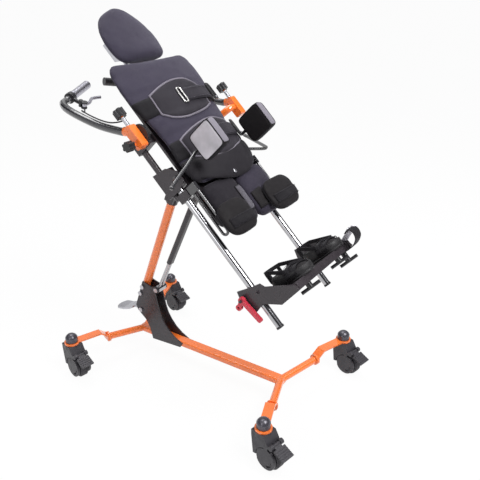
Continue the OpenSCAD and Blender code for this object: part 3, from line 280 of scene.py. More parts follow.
def piece(name, points, faces, coat, body, slot=None, stands_for=(), subdivide=0):
    """A smooth mesh of its own that rides on a body."""
    mesh = bpy.data.meshes.new(name)
    mesh.from_pydata([tuple(p) for p in points], [], faces)
    mesh.validate()
    form = bmesh.new()
    form.from_mesh(mesh)
    bmesh.ops.recalc_face_normals(form, faces=form.faces)
    form.to_mesh(mesh)
    form.free()
    mesh.polygons.foreach_set("use_smooth", [True] * len(mesh.polygons))
    mesh.materials.append(coat)
    made = bpy.data.objects.new(name, mesh)
    SCENE.collection.objects.link(made)
    if subdivide:
        subdivide_finely(made, subdivide)
    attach(made, body)
    if stands_for:
        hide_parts(*stands_for)
    return made


def loft_faces(rows, cols, ends=True, closed=False):
    """Quads between rings of points. A closed loft joins its last ring to its first."""
    faces = []
    for i in range(rows if closed else rows - 1):
        for j in range(cols):
            a = i * cols + j
            b = i * cols + (j + 1) % cols
            k = ((i + 1) % rows) * cols - i * cols
            faces.append((a, b, b + k, a + k))
    if ends and not closed:
        faces.append(tuple(range(cols - 1, -1, -1)))
        faces.append(tuple(range((rows - 1) * cols, rows * cols)))
    return faces


def smooth_path(points, steps):
    """Catmull-Rom curve through the points."""
    found = []
    last = len(points) - 1
    for i in range(last):
        a, b, c, d = points[max(i - 1, 0)], points[i], points[i + 1], points[min(i + 2, last)]
        for k in range(steps):
            t = k / steps
            found.append((b * 2 + (c - a) * t + (a * 2 - b * 5 + c * 4 - d) * t * t
                          + (b * 3 - a - c * 3 + d) * t ** 3) / 2)
    found.append(points[-1])
    return found


def way_at(path, i, closed=False):
    last = len(path) - 1
    if closed:
        return (path[(i + 1) % (last + 1)] - path[i - 1]).normalized()
    return (path[min(i + 1, last)] - path[max(i - 1, 0)]).normalized()


def tube_mesh(path, radius, sides=10, closed=False):
    """Round tube along a path, without twist. The radius may be a list."""
    rings = []
    side = None
    for i, p in enumerate(path):
        way = way_at(path, i, closed)
        if side is None:
            side = way.orthogonal().normalized()
        side = (side - way * side.dot(way)).normalized()
        other = way.cross(side)
        r = radius[i] if isinstance(radius, list) else radius
        for j in range(sides):
            a = 2 * math.pi * j / sides
            rings.append(p + (side * math.cos(a) + other * math.sin(a)) * r)
    return rings, loft_faces(len(path), sides, True, closed)


def joined(*meshes):
    """Several point and face lists as one."""
    points, faces = [], []
    for more, them in meshes:
        faces += [tuple(i + len(points) for i in f) for f in them]
        points += list(more)
    return points, faces


BAND_SIDES = 16


def band_mesh(path, wide, thick, side, corner=0.45):
    """Flat strap along a path, with rounded long edges. Its width lies along side."""
    rings = []
    for i, p in enumerate(path):
        way = way_at(path, i)
        across = (side - way * side.dot(way)).normalized()
        up = way.cross(across)
        for j in range(BAND_SIDES):
            a = 2 * math.pi * j / BAND_SIDES
            c, s = math.cos(a), math.sin(a)
            x = math.copysign(abs(c) ** 0.25, c) * wide / 2
            y = math.copysign(abs(s) ** corner, s) * thick / 2
            rings.append(p + across * x + up * y)
    return rings, loft_faces(len(path), BAND_SIDES)


def ring_mesh(centre, across, along, wide, tall, wire, sides=8):
    """Wire bent into a rounded rectangle."""
    path = []
    for k in range(32):
        a = 2 * math.pi * k / 32
        path.append(centre + across * (power_curve(math.cos(a), 5) * wide / 2)
                    + along * (power_curve(math.sin(a), 5) * tall / 2))
    return tube_mesh(path, wire, sides, True)


def stitch_mesh(path, up, gap=0.0042, size=0.0006, long=0.0026):
    """Row of short raised stitches along a path."""
    made = []
    travelled = 0.0
    for a, b in zip(path, path[1:]):
        travelled += (b - a).length
        if travelled >= gap:
            travelled = 0.0
            way = (b - a).normalized() * long / 2
            mid = (a + b) / 2 + up * size
            made.append(tube_mesh([mid - way, mid - way * 0.5 + up * size, mid + way * 0.5 + up * size,
                                   mid + way], size, 6))
    return joined(*made)


def curve_through(table, s):
    """Smooth value of a table of places and values."""
    last = len(table) - 1
    for i in range(last):
        if s <= table[i + 1][0] or i == last - 1:
            a, b = table[i], table[i + 1]
            t = min(1.0, max(0.0, (s - a[0]) / (b[0] - a[0])))
            before, after = table[max(i - 1, 0)], table[min(i + 2, last)]
            m0 = (b[1] - before[1]) / max(b[0] - before[0], 1e-6) * (b[0] - a[0])
            m1 = (after[1] - a[1]) / max(after[0] - a[0], 1e-6) * (b[0] - a[0])
            return ((2 * t ** 3 - 3 * t * t + 1) * a[1] + (t ** 3 - 2 * t * t + t) * m0
                    + (3 * t * t - 2 * t ** 3) * b[1] + (t ** 3 - t * t) * m1)
    return table[-1][1]


def power_curve(s, p):
    return math.copysign(abs(s) ** (2 / p), s)


def end_round(d, r):
    return 1.0 if d >= r else math.sqrt(max(0.0, 1 - (1 - d / r) ** 2))


def ramp(x, a, b):
    t = min(1.0, max(0.0, (x - a) / (b - a)))
    return t * t * (3 - 2 * t)


# Cushions
PAD_BASE = 34.4
END_SHARE = 0.3


def cushion_mesh(centre_x, low, length, width, base, thick, shares, power, rows, sides, round_plan,
                 round_edge, dip=0.0, crown=0.0):
    """Closed, crowned form: rounded sections along the board, drawn in towards both ends."""
    points = []
    for i in range(rows + 1):
        s = (1 - math.cos(math.pi * i / rows)) / 2
        d = min(s, 1 - s) * length
        half = width / 2 * curve_through(shares, s) - round_plan * (1 - end_round(d, round_plan))
        t = thick * (END_SHARE + (1 - END_SHARE) * end_round(d, round_edge))
        for j in range(sides):
            a = 2 * math.pi * j / sides
            x = power_curve(math.sin(a), power)
            rise = power_curve(math.cos(a), power)
            if rise > 0:
                rise *= 1 - crown * ramp(abs(x), 0.35, 1.1)
            n = base + thick / 2 + t / 2 * rise
            points.append(at(centre_x + half * x, low + s * length - dip * s ** 3 * (1 - x * x), n))
    return points, loft_faces(rows + 1, sides)


PRESSURE = 3.0
MOST_MOVE = 0.004
STILL_BAND = 2.0
SIM_FRAMES = 20


def inflate(made, voxel):
    """Swells a cushion as stuffed cloth. Points that rest on the board stay, and no point moves far."""
    bpy.context.view_layer.objects.active = made
    remesh = made.modifiers.new("remesh", "REMESH")
    remesh.mode = "VOXEL"
    remesh.voxel_size = voxel
    bpy.ops.object.modifier_apply(modifier="remesh")
    rest = [v.co.copy() for v in made.data.vertices]
    pinned = made.vertex_groups.new(name="pinned")
    pinned.add([i for i, p in enumerate(rest) if board_of(p)[2] < PAD_BASE + STILL_BAND], 1.0, "REPLACE")
    sim = made.modifiers.new("cloth", "CLOTH")
    sim.settings.vertex_group_mass = "pinned"
    sim.settings.quality = 6
    sim.settings.mass = 0.25
    sim.settings.tension_stiffness = 18
    sim.settings.compression_stiffness = 18
    sim.settings.shear_stiffness = 8
    sim.settings.bending_stiffness = 1.5
    sim.settings.use_pressure = True
    sim.settings.uniform_pressure_force = PRESSURE
    sim.settings.effector_weights.gravity = 0
    sim.collision_settings.use_collision = False
    for f in range(1, SIM_FRAMES + 1):
        SCENE.frame_set(f)
    graph = bpy.context.evaluated_depsgraph_get()
    swollen = [v.co.copy() for v in made.evaluated_get(graph).data.vertices]
    made.modifiers.remove(sim)
    made.vertex_groups.remove(pinned)
    SCENE.frame_set(1)
    for v, a, b in zip(made.data.vertices, rest, swollen):
        move = b - a
        v.co = a + move * min(1.0, MOST_MOVE / max(move.length, 1e-9))
    even = made.modifiers.new("even", "SMOOTH")
    even.factor = 0.5
    even.iterations = 6
    bpy.ops.object.modifier_apply(modifier="even")
    made.data.polygons.foreach_set("use_smooth", [True] * len(made.data.polygons))


def cushion(name, shape, coat, body, slot, stands_for, voxel=None):
    """A padded piece. Where a voxel size is given, it is swollen by simulation."""
    points, faces = cushion_mesh(**shape)
    made = piece(name, points, faces, coat, body, slot, stands_for)
    if voxel:
        inflate(made, voxel)
    subdivide_finely(made)
    return made


def tree_of(made):
    """Search tree over a piece's surface at rest."""
    mesh = made.data
    return BVHTree.FromPolygons([v.co for v in mesh.vertices], [p.vertices for p in mesh.polygons])


def press(made, dents):
    """Presses a cushion's front in under belts. A dent is its low and high edge and its depth."""
    for v in made.data.vertices:
        _, up, n = board_of(v.co)
        deep = 0.0
        for low, high, depth in dents:
            deep += depth * ramp(up, low - 14, low + 6) * (1 - ramp(up, high - 6, high + 14))
        front = ramp(n, 56, 76)
        v.co -= OUT * (deep * front / 1000)


def crease(made, scale, height):
    """Soft folds across a cushion's front, deeper where the cloth is slack."""
    for v in made.data.vertices:
        x, up, n = board_of(v.co)
        place = Vector((x * 0.5 + up * 0.35, up * 1.3 - x * 0.4, n)) * scale
        fold = abs(noise.noise(place)) - 0.25 + 0.4 * noise.noise(place * 2.3)
        v.co += OUT * (fold * height * ramp(n, 52, 74) / 1000)


BACK_SHARES = [(0, .80), (.165, .87), (.311, .84), (.384, .845), (.555, .91), (.713, 1), (.864, .99),
               (1, .93)]
HEAD_SHARES = [(0, .84), (.15, .95), (.35, 1), (.55, .95), (.72, .82), (.86, .62), (.95, .38), (1, .16)]
FLAT_SHARES = [(0, .96), (.5, 1), (1, .98)]
BACK = dict(centre_x=0, low=-68, length=415, width=356, base=PAD_BASE, thick=50, shares=BACK_SHARES,
            power=2.3, rows=48, sides=72, round_plan=30, round_edge=28, dip=13, crown=0.42)
HEAD = dict(centre_x=0, low=346, length=182, width=210, base=PAD_BASE, thick=52, shares=HEAD_SHARES,
            power=2.2, rows=36, sides=56, round_plan=24, round_edge=28, crown=0.36)

back_pad = cushion("back_cushion", BACK, FABRIC, "board", "pad_fabric", ["back_pad"], 0.006)
press(back_pad, [(150, 236, 3), (0, 96, 3)])
crease(back_pad, 0.014, 1.8)
cushion("head_cushion", HEAD, FABRIC, "head", "pad_fabric", ["headrest"], 0.005)
LEG_X = 73
leg_cushions = []
# The right leg cushion takes the painted-shade copy of the leg fabric and the left one the painted-light
# copy.
for side, sign, coat, stands_for in (("right", -1, SHADED_LEG_FABRIC, ["leg_pads"]), ("left", 1, LIT_LEG_FABRIC, [])):
    shape = dict(centre_x=sign * LEG_X, low=-226, length=154, width=142, base=PAD_BASE, thick=44,
                 shares=FLAT_SHARES, power=2.7, rows=28, sides=48, round_plan=26, round_edge=26)
    pad = cushion(side + "_leg_cushion", shape, coat, "board", "pad_fabric", stands_for, 0.005)
    crease(pad, 0.022, 3.2)
    leg_cushions.append(pad)

BACK_TREE = tree_of(back_pad)
LEG_TREES = [tree_of(made) for made in leg_cushions]


# Belts follow the cushion that they are drawn over
def land(tree, x, v, high=220):
    """Front of a cushion at a place on the board, with its normal."""
    hit, normal, _, _ = tree.ray_cast(at(x, v, high), -OUT)
    return hit, normal


def wrap(tree, v, turn, half=178, mid=59.4):
    """Point of a cushion's side or front that a belt reaches after a turn round the section."""
    x, n = power_curve(math.sin(turn), 2.7), power_curve(math.cos(turn), 2.7)
    far = at((half + 60) * x, v, mid + 90 * n)
    core = at(half * 0.72 * x, v, mid)
    hit, normal, _, _ = tree.ray_cast(far, (core - far).normalized())
    return hit, normal


def quilt_mesh(grid, thick, soft=0.28):
    """Padded sheet over a grid of landed points and normals, thinner at its border, closed underneath."""
    rows, cols = len(grid), len(grid[0])
    tops, lows = [], []
    for i in range(rows):
        for j in range(cols):
            p, normal = grid[i][j]
            u = min(i, rows - 1 - i) / (rows - 1) * 2
            w = min(j, cols - 1 - j) / (cols - 1) * 2
            swell = end_round(min(u, w), soft)
            tops.append(p + normal * (0.0006 + thick * (0.25 + 0.75 * swell)))
            lows.append(p + normal * 0.0003)
    count = rows * cols
    faces = []
    for i in range(rows - 1):
        for j in range(cols - 1):
            a = i * cols + j
            faces.append((a, a + 1, a + cols + 1, a + cols))
            faces.append(tuple(k + count for k in (a, a + cols, a + cols + 1, a + 1)))
    rim = list(range(cols))
    rim += [i * cols + cols - 1 for i in range(1, rows)]
    rim += [(rows - 1) * cols + j for j in range(cols - 2, -1, -1)]
    rim += [i * cols for i in range(rows - 2, 0, -1)]
    for k, a in enumerate(rim):
        b = rim[(k + 1) % len(rim)]
        faces.append((b, a, a + count, b + count))
    return tops + lows, faces, [tops[k] for k in rim]


def panel_grid(tree, left, right, top, bottom, cols=31, rows=17):
    """Landed points and normals between a top and a bottom edge."""
    grid = []
    for i in range(cols):
        x = left + (right - left) * i / (cols - 1)
        high, low = curve_through(top, x), curve_through(bottom, x)
        grid.append([land(tree, x, low + (high - low) * j / (rows - 1)) for j in range(rows)])
    return grid


BELT_TURN = math.radians(96)


def belt_band(name, low, high, thick, coat, stands_for=()):
    """Belt round the front and sides of the back cushion."""
    grid = []
    for k in range(-36, 37):
        turn = BELT_TURN * k / 36
        grid.append([wrap(BACK_TREE, low + (high - low) * j / 8, turn) for j in range(9)])
    piece(name, *quilt_mesh(grid, thick, 0.1)[:2], coat, "board", "strap_cloth", stands_for)


def piped(name, grid):
    """Padded panel with piping round its border."""
    points, faces, rim = quilt_mesh(grid, 0.006)
    made = piece(name, points, faces, PANEL, "board", "strap_cloth")
    cord, them = tube_mesh(smooth_path(rim, 2), 0.0029, 10, True)
    piece(name + "_piping", cord, them, PIPING, "board", "strap_cloth")


CHEST_TOP = [(-110, 217), (-54, 236), (-2, 246), (52, 244), (80, 233), (100, 215)]
CHEST_LOW = [(-110, 155), (-85, 135), (-45, 125), (12, 127), (60, 134), (100, 147)]
HIP_TOP = [(-110, 68), (-87, 77), (-13, 96), (50, 101), (122, 86)]
HIP_LOW = [(-110, 14), (-80, -2), (-31, -14), (27, -16), (101, 0), (122, 8)]
belt_band("chest_band", 158, 214, 0.003, STRAP, ["chest_belt"])
belt_band("hip_band", 14, 72, 0.003, STRAP, ["hip_belts"])
piped("chest_panel", panel_grid(BACK_TREE, -110, 100, CHEST_TOP, CHEST_LOW))
piped("hip_panel", panel_grid(BACK_TREE, -110, 122, HIP_TOP, HIP_LOW))
belt_band("pelvic_band", -58, 10, 0.0028, PELVIC)

# The pelvic panel hangs below the hip panel, over the back cushion's end and the tops of the legs
PELVIC_HALF = 140
PELVIC_TOP = [(-140, 6), (-60, -2), (0, -6), (60, -2), (140, 6)]
PELVIC_LOW = [(-140, -46), (-95, -70), (-20, -90), (52, -92), (104, -72), (140, -46)]


def hang(x, v):
    """Place of the pelvic panel, which bridges the gap between the cushions, with its normal."""
    near = math.copysign(min(abs(x), 124), x)
    over, normal = land(BACK_TREE, near, max(v, -40))
    inside = math.copysign(min(max(abs(x), 20), 120), x)
    legs = land(LEG_TREES[0 if x < 0 else 1], inside, min(v, -104))[0]
    n = board_of(over)[2]
    n += (board_of(legs)[2] - n) * ramp(-v, 40, 104)
    return at(x, v, n + 1.5 * ramp(-v, 40, 80) - 9 * ramp(abs(x), 118, 140)), normal


pelvic_grid = []
for i in range(33):
    x = -PELVIC_HALF + 2 * PELVIC_HALF * i / 32
    high, low = curve_through(PELVIC_TOP, x), curve_through(PELVIC_LOW, x)
    pelvic_grid.append([hang(x, low + (high - low) * j / 12) for j in range(13)])
pelvic = piece("pelvic_panel", *quilt_mesh(pelvic_grid, 0.0045)[:2], PELVIC, "board", "strap_cloth")


def lifted(grid, up, slack=0.0):
    """A grid raised off what it landed on, with some slack in the middle of its run."""
    last = len(grid) - 1
    return [[(p + n * (up + slack * math.sin(math.pi * i / last)), n) for p, n in row]
            for i, row in enumerate(grid)]


def edge_stitches(grid, lift):
    """Stitches along both long edges of a strap with nine rows."""
    rows = []
    for j in (1, 7):
        path = smooth_path([row[j][0] + row[j][1] * lift for row in grid], 6)
        rows.append(stitch_mesh(path, OUT))
    return joined(*rows)


def frame_mesh(centre, across, along, wide, tall, bar, thick):
    """Rectangular moulded frame, such as a buckle, with a middle bar."""
    parts = []
    for k in (-1, 1):
        middle = centre + along * (k * tall / 2)
        ends = [middle + across * (w * wide / 2) for w in (-1.12, -0.4, 0.4, 1.12)]
        parts.append(band_mesh(ends, bar, thick, along, 0.5))
    for k in (-1, 0, 1):
        middle = centre + across * (k * wide / 2)
        ends = [middle + along * (w * tall / 2) for w in (-1.08, -0.4, 0.4, 1.08)]
        parts.append(band_mesh(ends, bar * (1 if k else 0.7), thick * (1 if k else 0.8), across, 0.5))
    return joined(*parts)


def stud_mesh(centre, normal, radius, tall, sides=20):
    """Domed rivet or snap."""
    side = normal.orthogonal().normalized()
    other = normal.cross(side)
    rings = []
    for r, h in ((1, -0.3), (1, 0.25), (0.9, 0.55), (0.7, 0.8), (0.4, 0.95), (0.12, 1)):
        for j in range(sides):
            t = 2 * math.pi * j / sides
            round_ = (side * math.cos(t) + other * math.sin(t)) * (radius * r)
            rings.append(centre + round_ + normal * (tall * h))
    return rings, loft_faces(6, sides)


def belt_fittings(name, strap, ring_x, buckle_x, mid, tall=44):
    """Strap over a belt's panel, from a wire ring to a moulded buckle with a rivet."""
    left, right = strap
    top = [(left, mid + tall / 2), (right, mid + tall / 2 - 3)]
    bottom = [(left, mid - tall / 2), (right, mid - tall / 2 - 3)]
    grid = lifted(panel_grid(BACK_TREE, left, right, top, bottom, 25, 9), 0.0075, 0.003)
    piece(name + "_strap", *quilt_mesh(grid, 0.0028, 0.1)[:2], PANEL, "board", "strap_cloth")
    piece(name + "_stitches", *edge_stitches(grid, 0.0034), FLEECE, "board", "strap_cloth")
    p, n = land(BACK_TREE, ring_x, mid)
    ring = ring_mesh(p + n * 0.0105, ACROSS, UP_BOARD, 0.017, (tall + 5) / 1000, 0.0024, 12)
    piece(name + "_ring", *ring, RING, "board", "chrome_steel")
    p, n = land(BACK_TREE, buckle_x, mid - 3)
    across = UP_BOARD.cross(n).normalized()
    buckle = frame_mesh(p + n * 0.012, across, UP_BOARD, 0.026, (tall + 10) / 1000, 0.006, 0.006)
    piece(name + "_buckle", *buckle, PLASTIC, "board", "black_plastic", subdivide=1)
    p, n = land(BACK_TREE, buckle_x + 6, mid - tall / 2 - 1)
    piece(name + "_rivet", *stud_mesh(p + n * 0.0145, n, 0.0042, 0.003), METAL, "board", "bare_metal")


belt_fittings("chest", (2, 128), -4, 143, 190)
belt_fittings("hip", (24, 124), 18, 136, 52)
snap = stud_mesh(hang(-6, -76)[0] + OUT * 0.0055, OUT, 0.0065, 0.0028)
piece("pelvic_snap", *snap, METAL, "board", "bare_metal")

# Knee cups with a piped rim, a strap to the hairpin bar and a loop panel between them
KNEE_LOW = -243
KNEE_MID = -194
KNEE_TIE = [(161, 92), (160.5, 82), (159, 72), (157.6, 63), (156.4, 56), (154, 51.6), (150, 50.4),
            (146, 51.8), (143.8, 57), (144.6, 66), (147, 76), (149, 86)]
for side, sign, knee_x, wide in (("right", -1, 124, 126), ("left", 1, 108, 138)):
    middle = sign * knee_x
    shape = dict(centre_x=middle, low=KNEE_LOW, length=98, width=wide, base=79.5, thick=29,
                 shares=FLAT_SHARES, power=2.3, rows=26, sides=48, round_plan=34, round_edge=34)
    cup = cushion(side + "_knee_cup", shape, NEOPRENE, "board", "strap_cloth",
                  ["knee_cups"] if sign < 0 else [])
    crease(cup, 0.02, 2.0)
    left, right = middle - (wide / 2 - 11), middle + (wide / 2 - 11)
    strap = panel_grid(tree_of(cup), left, right, [(left, KNEE_MID), (right, KNEE_MID)],
                       [(left, KNEE_MID - 28), (right, KNEE_MID - 28)], 31, 9)
    strap = lifted(strap, 0.0006)
    piece(side + "_knee_strap", *quilt_mesh(strap, 0.003, 0.1)[:2], STRAP, "board", "strap_cloth")
    piece(side + "_knee_stitches", *edge_stitches(strap, 0.0032), PANEL, "board", "strap_cloth")
    rim = []
    for k in range(56):
        a = 2 * math.pi * k / 56
        rim.append(at(middle + (wide / 2 - 2) * power_curve(math.sin(a), 3),
                      KNEE_MID + 47 * power_curve(math.cos(a), 3), 88))
    piece(side + "_knee_piping", *tube_mesh(rim, 0.0026, 8, True), STRAP, "board", "strap_cloth")
    tie = smooth_path([at(sign * x, -176, n) for x, n in KNEE_TIE], 4)
    piece(side + "_knee_tie", *band_mesh(tie, 0.034, 0.0026, UP_BOARD), STRAP, "board", "strap_cloth")


def wing_grid(tree, left, right, top, bottom):
    """Small panel on a leg cushion, with a straight top and bottom edge."""
    edges = [[(left, a), (right, b)] for a, b in (top, bottom)]
    return lifted(panel_grid(tree, left, right, *edges, 13, 13), 0.0006)


wing = wing_grid(LEG_TREES[0], -44, -6, (-116, -112), (-196, -190))
points, faces, rim = quilt_mesh(wing, 0.0026, 0.15)
piece("right_knee_wing", points, faces, FLEECE, "board", "strap_cloth")
wing = wing_grid(LEG_TREES[1], 12, 52, (-150, -146), (-206, -206))
piece("left_knee_wing", *quilt_mesh(wing, 0.003, 0.15)[:2], NEOPRENE, "board", "strap_cloth")
cord = tube_mesh(smooth_path(rim, 2), 0.0014, 8, True)
piece("right_knee_wing_piping", *cord, STRAP, "board", "strap_cloth")

# Side pads: a foam block with a pale front, a vinyl back and dark piping along its edges
LATERAL_X, LATERAL_V, LATERAL_N = 118, 9, 164
LATERAL_THICK = 32
ROWS, COLS = 24, 56
for side, sign in (("right", -1), ("left", 1)):
    points = []
    for i in range(ROWS + 1):
        share = (1 - math.cos(math.pi * i / ROWS)) / 2
        inset = 6 * (1 - end_round(min(share, 1 - share) * LATERAL_THICK, 6))
        crown = 3.0 * math.sin(math.pi * share)
        x = sign * (LATERAL_X - LATERAL_THICK / 2 + LATERAL_THICK * share)
        for j in range(COLS):
            a = 2 * math.pi * j / COLS
            v = (40 - inset + crown) * power_curve(math.cos(a), 8)
            n = (42 - inset + crown) * power_curve(math.sin(a), 8)
            points.append(at(x, LATERAL_V + v, LATERAL_N + n))
    made = piece(side + "_lateral_cushion", points, loft_faces(ROWS + 1, COLS), NEOPRENE, side + "_side",
                 "strap_cloth", [side + "_lateral_pad"])
    made.data.materials.append(PALE)
    made.data.materials.append(VINYL)
    for face in made.data.polygons:
        if face.normal.dot(OUT) > 0.8:
            face.material_index = 1
        elif face.normal.dot(ACROSS) * sign > 0.8:
            face.material_index = 2
    cords = []
    for x in (LATERAL_X - 13.5, LATERAL_X + 13.5):
        path = []
        for k in range(72):
            a = 2 * math.pi * k / 72
            path.append(at(sign * x, LATERAL_V + 39.9 * power_curve(math.cos(a), 8),
                           LATERAL_N + 41.9 * power_curve(math.sin(a), 8)))
        cords.append(tube_mesh(path, 0.0016, 8, True))
    piece(side + "_lateral_piping", *joined(*cords), STRAP, side + "_side", "strap_cloth")

# Sandals: a moulded sole, an open heel band, an instep strap and a toe strap
SOLE_TOP = -412
FLOOR_OF_SHELL = -413
FOOT_W = 72
HEEL_N = 62
TOE_N = 128


def foot_point(turn, inset):
    """Point of the sole's outline, from the toe round, as across and out of the board."""
    toe = math.cos(turn) > 0
    r = FOOT_W / 2 * (1.0 if toe else 0.9) - inset
    return math.sin(turn) * r, (TOE_N if toe else HEEL_N) + math.cos(turn) * r


# Wall height of the shell, as a share, and height of its rim, from the heel to the toe
WALL = [(28, 1.3), (60, 1.2), (90, 0.9), (120, 0.62), (165, 0.5)]
RIM = [(28, 55), (62, 51), (80, 42), (94, 35), (112, 28)]
# Section of the shell: height on the board and inset of the outline
SHELL = [(-424, 4), (-424, 1.5), (-422.6, 0.2), (-419, 0), (-418.4, 0.8), (-417.6, 0.8), (-417, 0),
         (-408, -0.8), (-398, -1), (-390.5, -0.6), (-389.2, 0.3), (-388.8, 1.5), (-389.4, 3),
         (-392, 3.8), (-402, 4.2), (-410.5, 5), (-412.5, 8), (-413, 20)]


def sole_mesh(x):
    """Sole with a wall round it, open at the top like a bowl."""
    points = []
    steps = 56
    for v, inset in SHELL:
        for k in range(steps):
            across, n = foot_point(2 * math.pi * (k + 0.5) / steps, inset)
            high = max(v - FLOOR_OF_SHELL, 0) * curve_through(WALL, n)
            points.append(at(x + across, min(v, FLOOR_OF_SHELL) + high, n))
    return points, loft_faces(len(SHELL), steps)


def rim_path(x, steps=40):
    """Line round the heel over the sole, from one side of the instep to the other."""
    ways = [(-FOOT_W * 0.49, n) for n in (110, 94, 78)]
    for k in range(steps + 1):
        ways.append(foot_point(math.pi * 1.5 - math.pi * k / steps, 0.6))
    ways += [(FOOT_W * 0.49, n) for n in (78, 94, 110)]
    return [at(x + across, SOLE_TOP + curve_through(RIM, n) - 5, n) for across, n in ways]


def post_path(x, turn, low, high):
    """Upright strap between the shell and the rim."""
    across, n = foot_point(turn, 0.2)
    return [at(x + across, SOLE_TOP + low + (high - low) * k / 4, n) for k in range(5)]


# The upper: places along the foot, each with a width and a height
VAMP = [(96, 74, 33), (107, 74, 31), (117, 73, 28), (128, 71, 25), (140, 66, 21), (150, 53, 16),
        (157, 34, 10)]


def arch(x, half, tall, turn, n):
    """Point of an arch over the sole."""
    return at(x + half * math.cos(turn), SOLE_TOP - 6 + tall * math.sin(turn) ** 0.62, n)


def vamp_mesh(x):
    """Padded upper of a sandal, an arch that falls from the instep to the closed toe."""
    rings = []
    along = [(k / 6, n) for k, (n, w, h) in enumerate(VAMP)]
    wide = [(k / 6, w) for k, (n, w, h) in enumerate(VAMP)]
    tall = [(k / 6, h) for k, (n, w, h) in enumerate(VAMP)]
    for i in range(31):
        s = i / 30
        n, w, h = curve_through(along, s), curve_through(wide, s), curve_through(tall, s)
        lip = 1.2 * (1 - end_round(min(s, 1 - s), 0.06))
        for turns, inset in ((range(29), lip), (range(28, -1, -1), 4.6 - lip)):
            for k in turns:
                rings.append(arch(x, w / 2 - inset, h + 4 - inset, math.pi * k / 28, n))
    return rings, loft_faces(31, 58)


def vamp_path(x, n, start, stop, lift, steps=30):
    """Line over the upper, across the foot, between two angles in degrees."""
    w = curve_through([(n_, w) for n_, w, h in VAMP], n)
    h = curve_through([(n_, h) for n_, w, h in VAMP], n)
    turns = [math.radians(start + (stop - start) * k / steps) for k in range(steps + 1)]
    return [arch(x, w / 2 + lift, h + 4 + lift, turn, n) for turn in turns]


# Straps over the upper: place along the foot, width, width of the flap, half of the space between the
# stitches, and size of the ring
FOOT_STRAPS = [(107, 0.02, 0.017, 8, 0.025), (131, 0.018, 0.015, 7, 0.022)]
SHOE_X = 90
for side, sign in (("right", -1), ("left", 1)):
    x = sign * SHOE_X
    shoe = side + "_shoe"
    piece(side + "_sole", *sole_mesh(x), SOLE, shoe, "wheel_rubber", [side + "_sandal"])
    rim = band_mesh(smooth_path(rim_path(x), 2), 0.011, 0.0045, UP_BOARD)
    posts = [band_mesh(post_path(x, turn, 18, 48), 0.012, 0.004, way)
             for turn, way in ((math.pi, ACROSS), (math.pi * 0.64, OUT), (math.pi * 1.36, OUT))]
    piece(side + "_heel_band", *joined(rim, *posts), STRAP, shoe, "strap_cloth")
    upper = piece(side + "_vamp", *vamp_mesh(x), SHOE, shoe, "strap_cloth")
    straps, flaps, rows, rings = [], [], [], []
    for n, wide, flap, half, size in FOOT_STRAPS:
        straps.append(band_mesh(vamp_path(x, n, 6, 174, 1.6), wide, 0.003, OUT))
        flaps.append(band_mesh(vamp_path(x, n, 34, 96, 4.6), flap, 0.0026, OUT))
        for off in (-half, half):
            rows.append(stitch_mesh(vamp_path(x, n + off, 20, 150, 3.1, 70), UP_BOARD))
        rings.append(ring_mesh(vamp_path(x, n, 28, 30, 3.4, 1)[0], OUT, UP_BOARD, size, 0.010, 0.0016))
    piece(side + "_foot_straps", *joined(*straps), STRAP, shoe, "strap_cloth")
    piece(side + "_foot_flaps", *joined(*flaps), STRAP, shoe, "strap_cloth")
    piece(side + "_foot_stitches", *joined(*rows), PANEL, shoe, "strap_cloth")
    piece(side + "_foot_rings", *joined(*rings), PLASTIC, shoe, "black_plastic")


# Plated sleeves on the handle blocks' studs
def thread_mesh(x, n, low, high, radius, pitch=2.2):
    """Threaded sleeve along the board."""
    path, radii = [], []
    steps = int((high - low) / pitch) * 2
    for k in range(steps + 1):
        path.append(at(x, low + (high - low) * k / steps, n))
        radii.append((radius + (0.35 if k % 2 else -0.1)) / 1000)
    return tube_mesh(path, radii, 20)


STUD_X, STUD_N = 232, 64
for side, sign in (("right", -1), ("left", 1)):
    sleeve = thread_mesh(sign * STUD_X, STUD_N, 156.3, 184, 5.4)
    piece(side + "_stud_sleeve", *sleeve, METAL, side + "_handle", "bare_metal")

# Toe loop: webbing under the bar that rises in front and folds back, with an eyelet in its end and a
# pale leaf beside it
LOOP_X = 132
LOOP = [(0, 0), (0, .2), (0, .36), (0, .55), (.04, .72), (.2, .88), (.40, .97), (.72, 1), (.96, .95),
        (1.02, .85), (.95, .74)]
loop_path = smooth_path([at(LOOP_X, -447.5 + 46 * v, 105 + 96 * n) for v, n in LOOP], 5)
webbing = band_mesh(loop_path, 0.04, 0.003, ACROSS)
piece("toe_webbing", *webbing, STRAP, "foot", "strap_cloth", ["toe_loop"])
LEAF_X = 148
LEAF = [(-428.6, 115), (-425, 127), (-417, 149), (-409, 171), (-404.4, 189), (-402.5, 199)]
leaf_path = smooth_path([at(LEAF_X, v, n) for v, n in LEAF], 4)
leaf_way = (ACROSS - UP_BOARD * 0.6).normalized()
piece("toe_lining", *band_mesh(leaf_path, 0.024, 0.0028, leaf_way), LINING, "foot", "strap_cloth")
EYELET = len(loop_path) - 4
way = way_at(loop_path, EYELET)
centre = loop_path[EYELET] - way.cross(ACROSS).normalized() * 0.0022
piece("toe_eyelet", *ring_mesh(centre, ACROSS, way, 0.012, 0.012, 0.0018, 10), METAL, "foot", "bare_metal")

# Brake cable along the right-hand bar
HANDLE = Vector((0, 42.36, 853.2))
CABLE = [(-150, 272, 25), (-168, 254, 23), (-190, 238, 31), (-208, 220, 39), (-222, 200, 42),
         (-231, 170, 38), (-234, 126, 30), (-234, 90, 27), (-233, 62, 31), (-232, 42, 37)]
cable_path = smooth_path([(HANDLE + Vector(p)) / 1000 for p in CABLE], 6)
cable_tube = tube_mesh(cable_path, 0.002, 10)
cable = piece("cable", *cable_tube, PLASTIC, "right_handle", "black_plastic", ["brake_cable"])

